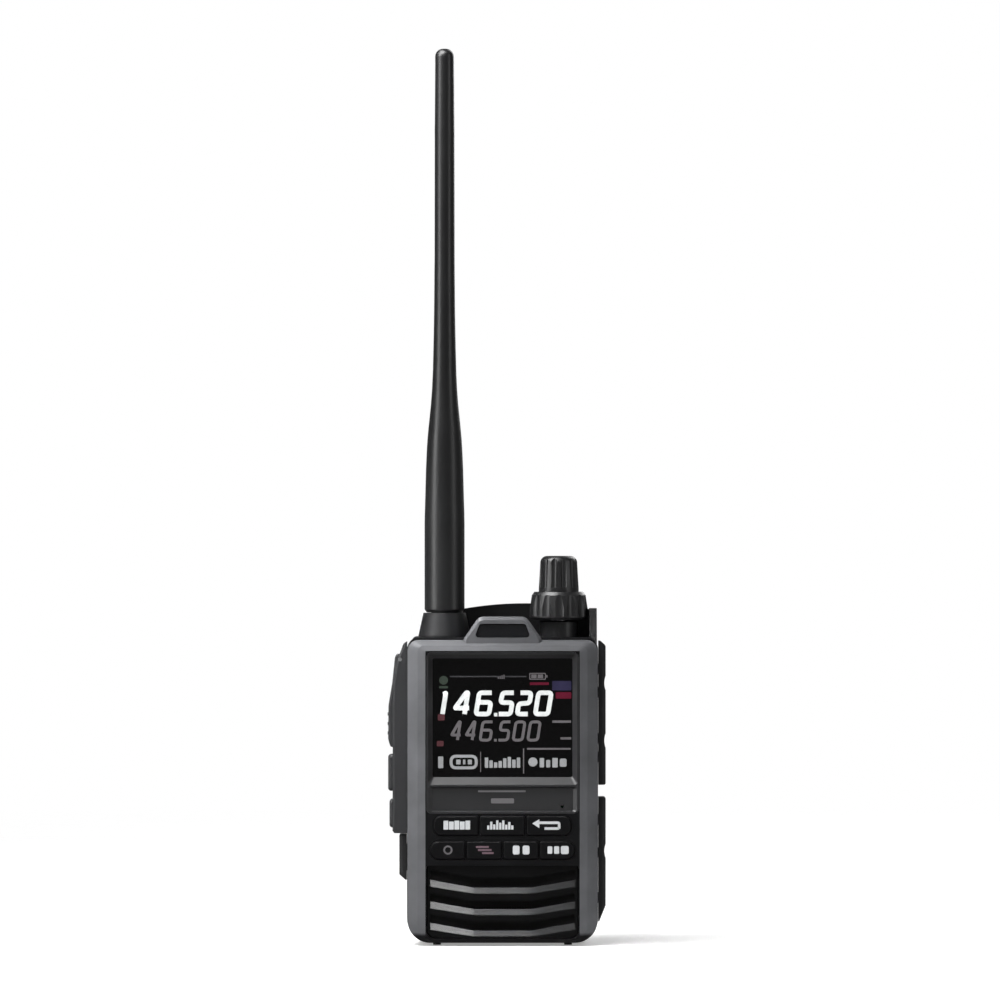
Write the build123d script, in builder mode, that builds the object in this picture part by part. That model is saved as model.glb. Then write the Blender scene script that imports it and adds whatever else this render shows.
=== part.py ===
from build123d import *

import math
import os

# A handheld radio for pilots and ground crew: a grey front case with a colour display,
# seven keys and a louvred speaker, a black rear case with side keys and rubber jack
# covers, a battery pack with a belt clip, a two-part knob and a screw-on whip antenna.
#
# Everything is drawn in millimetres about the body's mid plane: X runs to the viewer's
# right, Y runs from the front face (0) to the back, and Z runs up from the floor that
# the feet stand on. keep() then shifts each finished piece, so that the origin is the
# middle of the whole object's footprint.

os.makedirs("parts", exist_ok=True)

# ---- Driving dimensions ----------------------------------------------------------------
SHIFT_X, SHIFT_Y = 1.7, -19.7  # from the drawing's origin to the footprint's middle
FIT = 0.12  # gap between pieces that slip together
WALL = 1.8  # moulded wall thickness

FRONT_HALF = 27.9  # half the width of the front case
CASE_HALF = 28.1  # half the width of the rear case
FOOT_H = 0.9  # height of the feet
FRONT_TOP = 89.7  # top edge of the front case
SPLIT_Y = 9.0  # where the front case meets the rear case
BATTERY_Y = 20.5  # where the battery pack meets the rear case
BACK_Y = 32.5  # back of the battery pack
PANEL_Y = 3.6  # inner side of the front case's front wall

RIM_HALF = 22.4  # half the width inside the bevelled rim
SCREEN_LOW, SCREEN_HIGH = 49.6, 84.4  # clear opening over the display
BEZEL_LOW, BEZEL_HIGH = 38.9, 86.3  # recess that holds the display bezel
WINDOW_Y = 1.7  # front of the window

DECK_Z = 90.5  # flat top that the antenna and the knobs stand on
TOP_Y = 16.8  # depth of the antenna and knob axes
ANTENNA_X, KNOB_X = -17.1, 16.6
BOSS_TOP = 97.6  # top of the boss under the antenna
ANTENNA_TOP = 264.1
THREAD_R = 3.1  # antenna connector's thread, outside
THREAD_LENGTH = 3.4  # length of thread that the antenna's nut holds

RING_LOW, RING_HIGH = 95.6, 103.8  # volume ring
DIAL_LOW, DIAL_HIGH = 104.0, 114.4  # dial knob

KEY_TRAVEL = 0.35
KEY_FACE_Y = -0.5  # front of the keys, a little proud of the case
KEY_BACK_Y = 4.3
UPPER_KEY_Z, LOWER_KEY_Z = 35.4, 28.2  # centre heights of the two rows
UPPER_KEY_W, UPPER_KEY_H, UPPER_PITCH = 13.1, 5.8, 13.6
LOWER_KEY_W, LOWER_KEY_H, LOWER_PITCH = 10.3, 5.3, 10.75

SIDE_LOW_Y, SIDE_HIGH_Y = 11.4, 18.4  # front and back edges of the side keys
PTT_PIVOT_X, PTT_PIVOT_Z = -30.2, 84.0
SWITCH_Z = (64.0, 50.6, 38.6)  # heights of the three side switches
COVER_OUT = 30.4  # outer face of the rubber covers
COVER_PIVOT_X, COVER_PIVOT_Y = 29.35, 19.0

SHELF_H = 3.2  # thickness of the shelf under the battery pack
BATTERY_HALF = 26.4
BATTERY_LOW, BATTERY_HIGH = 4.3, 84.0
BATTERY_FRONT, COVER_JOINT = 20.7, 31.2
CLIP_PIVOT_Y, CLIP_PIVOT_Z = 36.2, 68.0
CLIP_BACK_Y = 39.6
LATCH_TRAVEL = 3.0


# ---- Planes and shared outlines --------------------------------------------------------
def front_at(y):
    """A plane across the body that faces the front. Extruding goes towards the front."""
    return Plane(origin=(0, y, 0), x_dir=(1, 0, 0), z_dir=(0, -1, 0))


def side_at(x):
    """A plane along the body whose sketch is (Y, Z). Extruding goes to the right."""
    return Plane(origin=(x, 0, 0), x_dir=(0, 1, 0), z_dir=(1, 0, 0))


def top_at(z):
    """A level plane. Extruding goes up."""
    return Plane.XY.offset(z)


def keep(builder, name):
    """Shifts a finished piece to the row frame, labels it and writes it."""
    part = builder.part.moved(Location((SHIFT_X, SHIFT_Y, 0)))
    part.label = name
    export_step(part, f"parts/{name}.step")


def upright(half, low, high, r_low, r_high):
    """A rectangle about the mid plane with one corner radius below and one above."""
    with BuildSketch() as made:
        with BuildLine():
            FilletPolyline(
                (-half, low), (half, low), (half, high), (-half, high),
                radius=[r_low, r_low, r_high, r_high], close=True,
            )
        make_face()
    return made.sketch


def panel(x_low, x_high, z_low, z_high, radius):
    """A rectangle between four edges with one corner radius."""
    with BuildSketch() as made:
        with Locations(((x_low + x_high) / 2, (z_low + z_high) / 2)):
            RectangleRounded(x_high - x_low, z_high - z_low, radius)
    return made.sketch


def outline(points, radius):
    """A closed outline through the points, its corners rounded."""
    with BuildSketch() as made:
        with BuildLine():
            FilletPolyline(*points, radius=radius, close=True)
        make_face()
    return made.sketch


def key_outline(x, z, width, height, r_left, r_right):
    """A key's outline, with its own radius at each end."""
    left, right, low, high = x - width / 2, x + width / 2, z - height / 2, z + height / 2
    with BuildSketch() as made:
        with BuildLine():
            FilletPolyline(
                (left, low), (right, low), (right, high), (left, high),
                radius=[r_left, r_right, r_right, r_left], close=True,
            )
        make_face()
    return made.sketch


# Each front key: its name, centre, size and the radius of its left and right ends.
FRONT_KEYS = []
for step, name in zip((-1, 0, 1), ("band_key", "scope_key", "back_key")):
    FRONT_KEYS.append((
        name, step * UPPER_PITCH, UPPER_KEY_Z, UPPER_KEY_W, UPPER_KEY_H,
        2.2 if step == -1 else 0.7, 2.2 if step == 1 else 0.7,
    ))
LOWER_NAMES = ("function_key", "menu_key", "receiver_key", "mode_key")
for step, name in zip((-1.5, -0.5, 0.5, 1.5), LOWER_NAMES):
    FRONT_KEYS.append((
        name, step * LOWER_PITCH, LOWER_KEY_Z, LOWER_KEY_W, LOWER_KEY_H,
        2.6 if step == -1.5 else 0.7, 2.6 if step == 1.5 else 0.7,
    ))

# The speaker grille's face has three flats, the outer two leaning back towards the sides.
# Each slot climbs along them, and the rib below it has a slope that catches the light.
GRILLE_LOW, GRILLE_HIGH = 2.3, 23.7
GRILLE_MID_Y, GRILLE_END_Y = 0.6, 2.0
FLAT_HALF, SLOT_END, SLOT_RISE = 8.45, 21.2, 2.2
SLOTS = ((17.2, 3.0), (10.9, 2.5), (4.6, 2.7))  # lower edge at the middle, and height
SLOPE_H, SLOPE_D = 2.1, 0.75

STATUS_LENS = ((-8.3, 90.5), (8.3, 90.5), (6.7, 94.6), (-6.7, 94.6))
STATUS_RADIUS = 0.9
SCREW_SPOTS = ((-24.2, 7.5), (24.2, 7.5), (-24.2, 81.0), (24.2, 81.0))



def hump(inset):
    """The hump's outline, drawn in from the edge by the inset."""
    wide, mid, top = 11.6 - inset, 6.9 - 0.6 * inset, 96.6 - inset
    points = [(-wide, 86.0), (wide, 86.0), (wide, 89.9), (mid, top), (-mid, top), (-wide, 89.9)]
    return outline(points, [0.4, 0.4, 2.4, 2.6, 2.6, 2.4])


# ---- Front case ------------------------------------------------------------------------
with BuildPart() as front_case:
    with BuildSketch(front_at(SPLIT_Y)):
        add(upright(FRONT_HALF, FOOT_H, FRONT_TOP, 6.6, 3.2))
    extrude(amount=SPLIT_Y - 3.0)
    # Two bevels run up each side of the front: a steep outer one and a shallow inner one.
    with BuildSketch(front_at(3.0)):
        add(upright(FRONT_HALF, FOOT_H, FRONT_TOP, 6.6, 3.2))
    with BuildSketch(front_at(0.75)):
        add(upright(FRONT_HALF - 3.0, FOOT_H + 0.9, FRONT_TOP - 1.5, 4.6, 1.8))
    with BuildSketch(front_at(0)):
        add(upright(FRONT_HALF - 5.3, FOOT_H + 1.3, FRONT_TOP - 3.1, 3.0, 0.9))
    loft(ruled=True)
    # The hump that frames the status lens stands on the top edge, its own edge bevelled.
    with BuildSketch(front_at(SPLIT_Y)):
        add(hump(0))
    extrude(amount=SPLIT_Y - 2.6)
    with BuildSketch(front_at(2.6)):
        add(hump(0))
    with BuildSketch(front_at(1.7)):
        add(hump(0.9))
    loft(ruled=True)
    # Hollow behind the front wall, and up behind the hump.
    with BuildSketch(front_at(SPLIT_Y)):
        add(upright(FRONT_HALF - WALL, FOOT_H + WALL, FRONT_TOP - WALL, 5.0, 2.0))
    extrude(amount=SPLIT_Y - PANEL_Y, mode=Mode.SUBTRACT)
    with BuildSketch(front_at(7.8)):
        add(outline([(-10.4, 86.0), (10.4, 86.0), (10.4, 89.6), (6.9, 95.4), (-6.9, 95.4), (-10.4, 89.6)], 0.6))
    extrude(amount=7.8 - PANEL_Y, mode=Mode.SUBTRACT)
    with BuildSketch(front_at(PANEL_Y)):
        add(outline(STATUS_LENS, STATUS_RADIUS))
    extrude(amount=PANEL_Y, mode=Mode.SUBTRACT)
    # Recess for the display bezel, pocket for the window, opening for the display.
    with BuildSketch(front_at(WINDOW_Y)):
        add(panel(-RIM_HALF, RIM_HALF, BEZEL_LOW, BEZEL_HIGH, 1.6))
    extrude(amount=WINDOW_Y, mode=Mode.SUBTRACT)
    with BuildSketch(front_at(WINDOW_Y + 1.1)):
        add(panel(-21.7, 21.7, SCREEN_LOW - 1.3, SCREEN_HIGH + 1.0, 1.0))
    extrude(amount=1.1, mode=Mode.SUBTRACT)
    with BuildSketch(front_at(PANEL_Y)):
        add(panel(-20.7, 20.7, SCREEN_LOW - 0.3, SCREEN_HIGH, 0.6))
    extrude(amount=PANEL_Y, mode=Mode.SUBTRACT)
    # One hole for each key, with a small lead-in at the front.
    with BuildSketch(front_at(PANEL_Y)):
        for _, x, z, w, h, r_left, r_right in FRONT_KEYS:
            add(key_outline(x, z, w + 2 * FIT, h + 2 * FIT, r_left + FIT, r_right + FIT))
    extrude(amount=PANEL_Y, mode=Mode.SUBTRACT)
    # Microphone port, low in the display recess.
    with BuildSketch(front_at(PANEL_Y)):
        with Locations((17.5, 41.0)):
            Circle(0.6)
    extrude(amount=PANEL_Y, mode=Mode.SUBTRACT)
    # Opening for the speaker grille.
    with BuildSketch(front_at(PANEL_Y)):
        add(upright(RIM_HALF, GRILLE_LOW, GRILLE_HIGH, 2.6, 0.8))
    extrude(amount=PANEL_Y, mode=Mode.SUBTRACT)
    # Groove for the seal, and bosses for the four case screws.
    with BuildSketch(front_at(SPLIT_Y)):
        add(upright(FRONT_HALF - 0.5, FOOT_H + 0.5, FRONT_TOP - 0.5, 6.1, 2.7))
        add(upright(FRONT_HALF - 1.3, FOOT_H + 1.3, FRONT_TOP - 1.3, 5.4, 2.2), mode=Mode.SUBTRACT)
    extrude(amount=0.7, mode=Mode.SUBTRACT)
    with BuildSketch(front_at(SPLIT_Y - 0.2)):
        with Locations(*SCREW_SPOTS):
            Circle(2.1)
    extrude(amount=SPLIT_Y - 0.2 - PANEL_Y)
    with BuildSketch(front_at(SPLIT_Y - 0.2)):
        with Locations(*SCREW_SPOTS):
            Circle(1.0)
    extrude(amount=4.6, mode=Mode.SUBTRACT)
keep(front_case, "front_case")

with BuildPart() as main_gasket:
    with BuildSketch(front_at(SPLIT_Y)):
        add(upright(FRONT_HALF - 0.55, FOOT_H + 0.55, FRONT_TOP - 0.55, 6.05, 2.65))
        add(upright(FRONT_HALF - 1.25, FOOT_H + 1.25, FRONT_TOP - 1.25, 5.45, 2.25), mode=Mode.SUBTRACT)
    extrude(amount=0.65)
keep(main_gasket, "main_gasket")

# ---- Display ---------------------------------------------------------------------------
with BuildPart() as display_bezel:
    gap = 0.06
    with BuildSketch(front_at(WINDOW_Y)):
        add(panel(-RIM_HALF + gap, RIM_HALF - gap, BEZEL_LOW + gap, BEZEL_HIGH - gap, 1.55))
    extrude(amount=WINDOW_Y - 0.1)
    # The opening narrows towards the window, so its lower and right sides catch the light.
    with BuildSketch(front_at(0.05)):
        add(panel(-21.9, 21.9, 47.3, 85.8, 0.9))
    with BuildSketch(front_at(WINDOW_Y)):
        add(panel(-20.5, 20.5, SCREEN_LOW, SCREEN_HIGH, 0.5))
    loft(mode=Mode.SUBTRACT)
    # Below the bar lies a plain name-plate field.
    with BuildSketch(front_at(0.05)):
        add(panel(-21.9, 21.9, 39.3, 46.9, 0.9))
    with BuildSketch(front_at(0.95)):
        add(panel(-20.7, 20.7, 39.8, 46.4, 0.5))
    loft(mode=Mode.SUBTRACT)
    with BuildSketch(front_at(WINDOW_Y)):
        with Locations((17.5, 41.0)):
            Circle(0.5)
    extrude(amount=WINDOW_Y, mode=Mode.SUBTRACT)
keep(display_bezel, "display_bezel")

with BuildPart() as display_window:
    with BuildSketch(front_at(WINDOW_Y + 1.0)):
        add(panel(-21.6, 21.6, SCREEN_LOW - 1.2, SCREEN_HIGH + 0.9, 0.9))
    extrude(amount=1.0)
keep(display_window, "display_window")

with BuildPart() as lcd_module:
    with BuildSketch(front_at(5.7)):
        add(panel(-22.0, 22.0, 46.6, 85.4, 0.8))
    extrude(amount=5.7 - PANEL_Y - 0.05)
    with BuildSketch(front_at(PANEL_Y + 0.1)):
        add(panel(-20.45, 20.45, SCREEN_LOW - 0.1, SCREEN_HIGH - 0.2, 0.4))
    extrude(amount=PANEL_Y + 0.1 - (WINDOW_Y + 1.05))
keep(lcd_module, "lcd_module")

with BuildPart() as status_lens:
    with BuildSketch(front_at(4.4)):
        add(outline([(-9.5, 89.6), (9.5, 89.6), (6.9, 94.95), (-6.9, 94.95)], 0.6))
    extrude(amount=0.75)
    with BuildSketch(front_at(PANEL_Y + 0.1)):
        inset = 0.08
        add(outline(
            [(-8.3 + inset, 90.5 + inset), (8.3 - inset, 90.5 + inset),
             (6.7 - inset, 94.6 - inset), (-6.7 + inset, 94.6 - inset)],
            STATUS_RADIUS - inset,
        ))
    extrude(amount=PANEL_Y + 0.1 - 2.1)
    lens_face = status_lens.faces().sort_by(Axis.Y)[0]
    fillet(lens_face.edges(), 0.3)
keep(status_lens, "status_lens")

# ---- Front keys and what they press ----------------------------------------------------
for name, x, z, w, h, r_left, r_right in FRONT_KEYS:
    with BuildPart() as key:
        with BuildSketch(front_at(KEY_BACK_Y - 0.5)):
            add(key_outline(x, z, w, h, r_left, r_right))
        extrude(amount=KEY_BACK_Y - 0.5 - KEY_FACE_Y)
        cap_face = key.faces().sort_by(Axis.Y)[0]
        fillet(cap_face.edges(), 0.45)
        # A flange behind the case wall keeps the key in; a stem reaches for the mat.
        flange_w, flange_h = w - 0.2, h + 0.9
        with BuildSketch(front_at(KEY_BACK_Y)):
            add(key_outline(x, z, flange_w, flange_h, 0.7, 0.7))
        extrude(amount=KEY_BACK_Y - PANEL_Y - 0.06)
    keep(key, name)

with BuildPart() as keypad_mat:
    mat_front, mat_back = 5.15, 5.8
    with BuildSketch(front_at(mat_back)):
        add(panel(-23.6, 23.6, 24.6, 39.6, 1.2))
    extrude(amount=mat_back - mat_front)
    with BuildSketch(front_at(mat_front + 0.05)):
        for _, x, z, w, h, _, _ in FRONT_KEYS:
            with Locations((x, z)):
                Circle(1.9)
    extrude(amount=0.05 + mat_front - (KEY_BACK_Y + KEY_TRAVEL + 0.05), taper=18)
keep(keypad_mat, "keypad_mat")

with BuildPart() as control_board:
    board_front, board_back = 5.9, 6.9
    with BuildSketch(front_at(board_back)):
        add(panel(-25.4, 25.4, 24.6, 86.8, 1.0))
        with Locations(*SCREW_SPOTS[2:]):
            Circle(2.3, mode=Mode.SUBTRACT)
    extrude(amount=board_back - board_front)
    # A tongue of the board stands up behind the status lens, with three lamps on it.
    with BuildSketch(front_at(board_back)):
        add(panel(-6.8, 6.8, 86.0, 94.4, 0.5))
    extrude(amount=board_back - board_front)
    with BuildSketch(front_at(board_front + 0.05)):
        with Locations((-4, 92.2), (0, 92.2), (4, 92.2)):
            RectangleRounded(1.6, 1.6, 0.3)
    extrude(amount=0.8)
    # Chips, a display connector and a board-to-board connector on the back of the board.
    chips = ((-9.0, 62.0, 12.0, 12.0, 1.0), (9.5, 66.0, 8.0, 8.0, 0.9), (8.0, 50.0, 10.0, 6.0, 0.9),
             (-12.0, 42.0, 7.0, 5.0, 1.1), (0.0, 33.0, 18.0, 3.2, 1.4), (0.0, 80.5, 20.0, 3.0, 1.2))
    for x, z, w, h, t in chips:
        with BuildSketch(front_at(board_back + t)):
            with Locations((x, z)):
                Rectangle(w, h)
        extrude(amount=t + 0.05)
keep(control_board, "control_board")

with BuildPart() as microphone:
    with BuildSketch(front_at(5.7)):
        with Locations((17.5, 43.2)):
            Circle(2.0)
    extrude(amount=5.7 - PANEL_Y - 0.1)
keep(microphone, "microphone")

# ---- Speaker ---------------------------------------------------------------------------
SPEAKER_Z, SPEAKER_R = 13.3, 9.8

with BuildPart() as speaker_grille:
    half = RIM_HALF - 0.06
    with BuildSketch(top_at(GRILLE_LOW + 0.06)):
        with BuildLine():
            Polyline(
                (-half, GRILLE_END_Y), (-FLAT_HALF, GRILLE_MID_Y), (FLAT_HALF, GRILLE_MID_Y),
                (half, GRILLE_END_Y), (half, PANEL_Y - 0.05), (-half, PANEL_Y - 0.05), close=True,
            )
        make_face()
    extrude(amount=GRILLE_HIGH - GRILLE_LOW - 0.12)
    with BuildSketch(front_at(PANEL_Y)):
        add(upright(RIM_HALF - 0.06, GRILLE_LOW + 0.06, GRILLE_HIGH - 0.06, 2.55, 0.75))
    extrude(amount=PANEL_Y + 0.5, mode=Mode.INTERSECT)
    for low, height in SLOTS:
        bottom = [(-SLOT_END, low + SLOT_RISE), (-FLAT_HALF, low), (FLAT_HALF, low), (SLOT_END, low + SLOT_RISE)]
        top = [(x, z + height) for x, z in reversed(bottom)]
        with BuildSketch(front_at(PANEL_Y + 0.1)):
            add(outline(bottom + top, [0.5, 0, 0, 0.5, 0.5, 0, 0, 0.5]))
        extrude(amount=PANEL_Y + 0.5, mode=Mode.SUBTRACT)
        for x, z in bottom:
            y = GRILLE_MID_Y if abs(x) < 10 else GRILLE_END_Y
            with BuildSketch(side_at(x)):
                with BuildLine():
                    Polyline(
                        (y - 0.4, z - SLOPE_H * 1.24), (y + SLOPE_D, z), (y + SLOPE_D, z + 0.3),
                        (y - 0.4, z + 0.3), close=True,
                    )
                make_face()
        loft(ruled=True, mode=Mode.SUBTRACT)
keep(speaker_grille, "speaker_grille")

with BuildPart() as speaker_cloth:
    with BuildSketch(front_at(PANEL_Y + 0.35)):
        add(panel(-22.6, 22.6, 4.6, 23.8, 2.0))
        with Locations(*SCREW_SPOTS[:2]):
            Circle(2.4, mode=Mode.SUBTRACT)
    extrude(amount=0.3)
keep(speaker_cloth, "speaker_cloth")

with BuildPart() as speaker_frame:
    # A pressed basket: a rim, a sloping wall and a back plate with the magnet pot.
    with BuildSketch(Plane(origin=(0, 0, SPEAKER_Z), x_dir=(1, 0, 0), z_dir=(0, 0, 1))):
        with BuildLine():
            Polyline(
                (SPEAKER_R - 1.0, 4.1), (SPEAKER_R, 4.1), (SPEAKER_R, 4.9), (8.2, 6.4), (8.2, 7.6),
                (6.4, 7.6), (6.4, 9.9), (0, 9.9), (0, 9.1), (2.6, 9.1), (2.6, 7.0), (7.4, 7.0),
                (7.4, 6.1), (SPEAKER_R - 1.0, 4.9), close=True,
            )
        make_face()
    revolve(axis=Axis((0, 0, SPEAKER_Z), (0, 1, 0)))
keep(speaker_frame, "speaker_frame")

with BuildPart() as speaker_cone:
    # A thin cone with a rolled edge and a dust cap.
    with BuildSketch(Plane(origin=(0, 0, SPEAKER_Z), x_dir=(1, 0, 0), z_dir=(0, 0, 1))):
        with BuildLine():
            Polyline(
                (8.7, 4.3), (8.7, 4.55), (7.6, 4.6), (2.9, 5.9), (2.4, 5.7), (0, 5.35),
                (0, 5.1), (2.3, 5.4), (3.0, 5.6), (7.5, 4.3), close=True,
            )
        make_face()
    revolve(axis=Axis((0, 0, SPEAKER_Z), (0, 1, 0)))
keep(speaker_cone, "speaker_cone")

# ---- Rear case -------------------------------------------------------------------------
COVER_SPANS = {"upper_jack_cover": (47.0, 89.4), "lower_jack_cover": (6.6, 43.4)}
CARD_SPAN = (19.0, 32.4)
EAR_SPOTS = {"upper_jack_cover": (55.0, 81.0), "lower_jack_cover": (13.5, 36.5)}
CARD_EAR_Z = 25.7
EAR_HALF = 1.6  # half the height of a hinge ear
SHOULDER_BACK = 31.0
JACK_Y, HEADSET_Z, POWER_Z, USB_Z, CONTACT_Z = 14.7, 74.2, 60.6, 27.0, 20.0
LATCH_HALF, LATCH_Z = 5.0, 2.5

with BuildPart() as rear_case:
    with BuildSketch(front_at(BATTERY_Y)):
        add(upright(CASE_HALF, FOOT_H, DECK_Z, 6.8, 3.6))
    extrude(amount=BATTERY_Y - SPLIT_Y)
    # The head behind the deck rises as a shoulder between the antenna and the knobs.
    with BuildSketch(front_at(SHOULDER_BACK)):
        with BuildLine():
            Polyline((-21.6, 96.4), (-24.4, 84.3), (27.4, 84.3), (27.4, 98.2))
            ThreePointArc((27.4, 98.2), (1.0, 100.1), (-21.6, 96.4))
        make_face()
        fillet(vertices().sort_by(Axis.Y)[-2:], 2.0)
    extrude(amount=SHOULDER_BACK - 26.2)
    with BuildSketch(front_at(SHOULDER_BACK)):
        add(upright(26.9, 84.3, DECK_Z, 0.8, 1.6))
    extrude(amount=SHOULDER_BACK - SPLIT_Y - 2.0)
    # A wall on the right guards the knobs, and a shelf runs under the battery pack.
    with BuildSketch(side_at(25.6)):
        add(outline([(10.5, 88.0), (28.0, 88.0), (28.0, 98.9), (14.0, 98.9)], [0.3, 0.8, 3.0, 1.0]))
    extrude(amount=2.2)
    with BuildSketch(front_at(SHOULDER_BACK)):
        add(upright(25.6, FOOT_H, FOOT_H + SHELF_H, 1.6, 0.3))
    extrude(amount=SHOULDER_BACK - BATTERY_Y + 0.5)
    with BuildSketch(top_at(0)):
        with Locations((-19.3, 19.3), (19.3, 19.3)):
            SlotOverall(20.0, 2.3, rotation=90)
    extrude(amount=FOOT_H + 0.3)
    # Boss under the antenna.
    with BuildSketch(Plane(origin=(ANTENNA_X, TOP_Y, 0), x_dir=(1, 0, 0), z_dir=(0, -1, 0))):
        with BuildLine():
            # A low collar on its top stands in the antenna's skirt.
            Polyline((0, 88.0), (7.7, 88.0), (7.7, 91.0), (6.25, BOSS_TOP), (4.05, BOSS_TOP), (4.05, BOSS_TOP + 0.36),
                     (0, BOSS_TOP + 0.36), close=True)
        make_face()
    revolve(axis=Axis((ANTENNA_X, TOP_Y, 0), (0, 0, 1)))
    # Hollow for the electronics, and the space under the shoulder.
    with BuildSketch(front_at(BATTERY_Y - WALL)):
        add(upright(CASE_HALF - WALL, FOOT_H + WALL, DECK_Z - WALL, 5.2, 2.0))
    extrude(amount=BATTERY_Y - WALL - SPLIT_Y, mode=Mode.SUBTRACT)
    with BuildSketch(front_at(SHOULDER_BACK - 1.6)):
        add(panel(-24.4, 24.4, 86.2, DECK_Z - WALL, 0.8))
    extrude(amount=SHOULDER_BACK - 1.6 - SPLIT_Y - 2.0, mode=Mode.SUBTRACT)
    # Holes up through the deck for the antenna connector and the encoder's bushing.
    with BuildSketch(top_at(DECK_Z - WALL - 0.5)):
        with Locations((ANTENNA_X, TOP_Y)):
            Circle(THREAD_R + 0.1)
        with Locations((KNOB_X, TOP_Y)):
            Circle(3.55)
    extrude(amount=12, mode=Mode.SUBTRACT)
    # Shallow seats for the rubber covers, with socket holes on the right.
    for low, high in COVER_SPANS.values():
        with BuildSketch(side_at(CASE_HALF - 0.9)):
            add(panel(11.8, 17.3, low + 2.2, high - 3.6, 1.2))
        extrude(amount=2, mode=Mode.SUBTRACT)
    with BuildSketch(side_at(-CASE_HALF - 1)):
        add(panel(11.8, 17.3, CARD_SPAN[0] + 1.0, CARD_SPAN[1] - 1.0, 1.0))
    extrude(amount=1.9, mode=Mode.SUBTRACT)
    with BuildSketch(side_at(CASE_HALF - WALL - 1)):
        with Locations((JACK_Y, HEADSET_Z)):
            Circle(3.2)
        with Locations((JACK_Y, POWER_Z)):
            Circle(3.0)
        with Locations((JACK_Y, USB_Z)):
            RectangleRounded(3.5, 9.4, 0.8)
    extrude(amount=4, mode=Mode.SUBTRACT)
    # Card slot, and the holes that the side switches look through, on the left.
    with BuildSketch(side_at(-CASE_HALF - 1)):
        with Locations((JACK_Y, CARD_EAR_Z)):
            Rectangle(2.0, 9.8)
        for z in SWITCH_Z:
            with Locations((14.9, z)):
                Circle(1.6)
    extrude(amount=4, mode=Mode.SUBTRACT)
    # Ears on the sides carry the hinge pins of the covers.
    for spots in EAR_SPOTS.values():
        for z in spots:
            with BuildSketch(top_at(z - EAR_HALF)):
                with BuildLine():
                    Polyline((27.6, 18.0), (COVER_PIVOT_X, 18.0))
                    ThreePointArc((COVER_PIVOT_X, 18.0), (COVER_PIVOT_X + 1.0, 19.0), (COVER_PIVOT_X, 20.0))
                    Polyline((COVER_PIVOT_X, 20.0), (27.6, 20.0), (27.6, 18.0))
                make_face()
                with Locations((COVER_PIVOT_X, COVER_PIVOT_Y)):
                    Circle(0.56, mode=Mode.SUBTRACT)
            extrude(amount=2 * EAR_HALF)
    with BuildSketch(top_at(CARD_EAR_Z - EAR_HALF)):
        with BuildLine():
            Polyline((-27.6, 18.0), (-COVER_PIVOT_X, 18.0))
            ThreePointArc((-COVER_PIVOT_X, 18.0), (-COVER_PIVOT_X - 1.0, 19.0), (-COVER_PIVOT_X, 20.0))
            Polyline((-COVER_PIVOT_X, 20.0), (-27.6, 20.0), (-27.6, 18.0))
        make_face()
        with Locations((-COVER_PIVOT_X, COVER_PIVOT_Y)):
            Circle(0.56, mode=Mode.SUBTRACT)
    extrude(amount=2 * EAR_HALF)
    # Window for the battery's spring contacts, and blind holes for its locating pegs.
    with BuildSketch(front_at(BATTERY_Y)):
        with Locations((0, CONTACT_Z)):
            RectangleRounded(16.0, 6.0, 0.6)
    extrude(amount=WALL + 0.5, mode=Mode.SUBTRACT)
    with BuildSketch(front_at(BATTERY_Y)):
        with Locations((-17, 76.0), (17, 76.0)):
            Circle(1.75)
    extrude(amount=1.4, mode=Mode.SUBTRACT)
    # Pocket in the shelf for the battery latch, with a slot above it for the tooth.
    with BuildSketch(front_at(SHOULDER_BACK + 1)):
        with Locations((LATCH_TRAVEL / 2, LATCH_Z)):
            Rectangle(2 * LATCH_HALF + LATCH_TRAVEL + 0.3, 1.6)
    extrude(amount=7.0, mode=Mode.SUBTRACT)
    with BuildSketch(top_at(LATCH_Z)):
        with Locations((LATCH_TRAVEL / 2, 28.2)):
            Rectangle(3.6 + LATCH_TRAVEL + 0.3, 3.0)
    extrude(amount=3.0, mode=Mode.SUBTRACT)
    # Two lugs at the back of the head carry the strap pin.
    for x in (-22.4, -15.4):
        with BuildSketch(side_at(x)):
            add(panel(29.0, 35.0, 88.0, 92.0, 1.7))
        extrude(amount=1.8)
    with BuildSketch(side_at(-22.5)):
        with Locations((33.3, 90.0)):
            Circle(0.85)
    extrude(amount=10, mode=Mode.SUBTRACT)
    # Pillars for the case screws, with counterbored heads inside the battery bay.
    with BuildSketch(front_at(BATTERY_Y - WALL + 0.2)):
        with Locations(*SCREW_SPOTS):
            Circle(2.6)
    extrude(amount=BATTERY_Y - WALL - SPLIT_Y + 0.2)
    with BuildSketch(front_at(BATTERY_Y)):
        with Locations(*SCREW_SPOTS):
            Circle(1.1)
    extrude(amount=BATTERY_Y - SPLIT_Y + 1, mode=Mode.SUBTRACT)
    with BuildSketch(front_at(BATTERY_Y)):
        with Locations(*SCREW_SPOTS):
            Circle(2.15)
    extrude(amount=1.5, mode=Mode.SUBTRACT)
keep(rear_case, "rear_case")

with BuildPart() as case_screws:
    with BuildSketch(front_at(19.1)):
        with Locations(*SCREW_SPOTS):
            Circle(0.95)
    extrude(amount=14.0)
    with BuildSketch(front_at(20.4)):
        with Locations(*SCREW_SPOTS):
            Circle(2.0)
    extrude(amount=1.35)
    with BuildSketch(front_at(20.4)):
        with Locations(*SCREW_SPOTS):
            RegularPolygon(1.0, 6, mode=Mode.ADD)
    extrude(amount=0.7, mode=Mode.SUBTRACT)
keep(case_screws, "case_screws")

with BuildPart() as strap_pin:
    with BuildSketch(side_at(-22.4)):
        with Locations((33.3, 90.0)):
            Circle(0.82)
    extrude(amount=8.8)
keep(strap_pin, "strap_pin")

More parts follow.
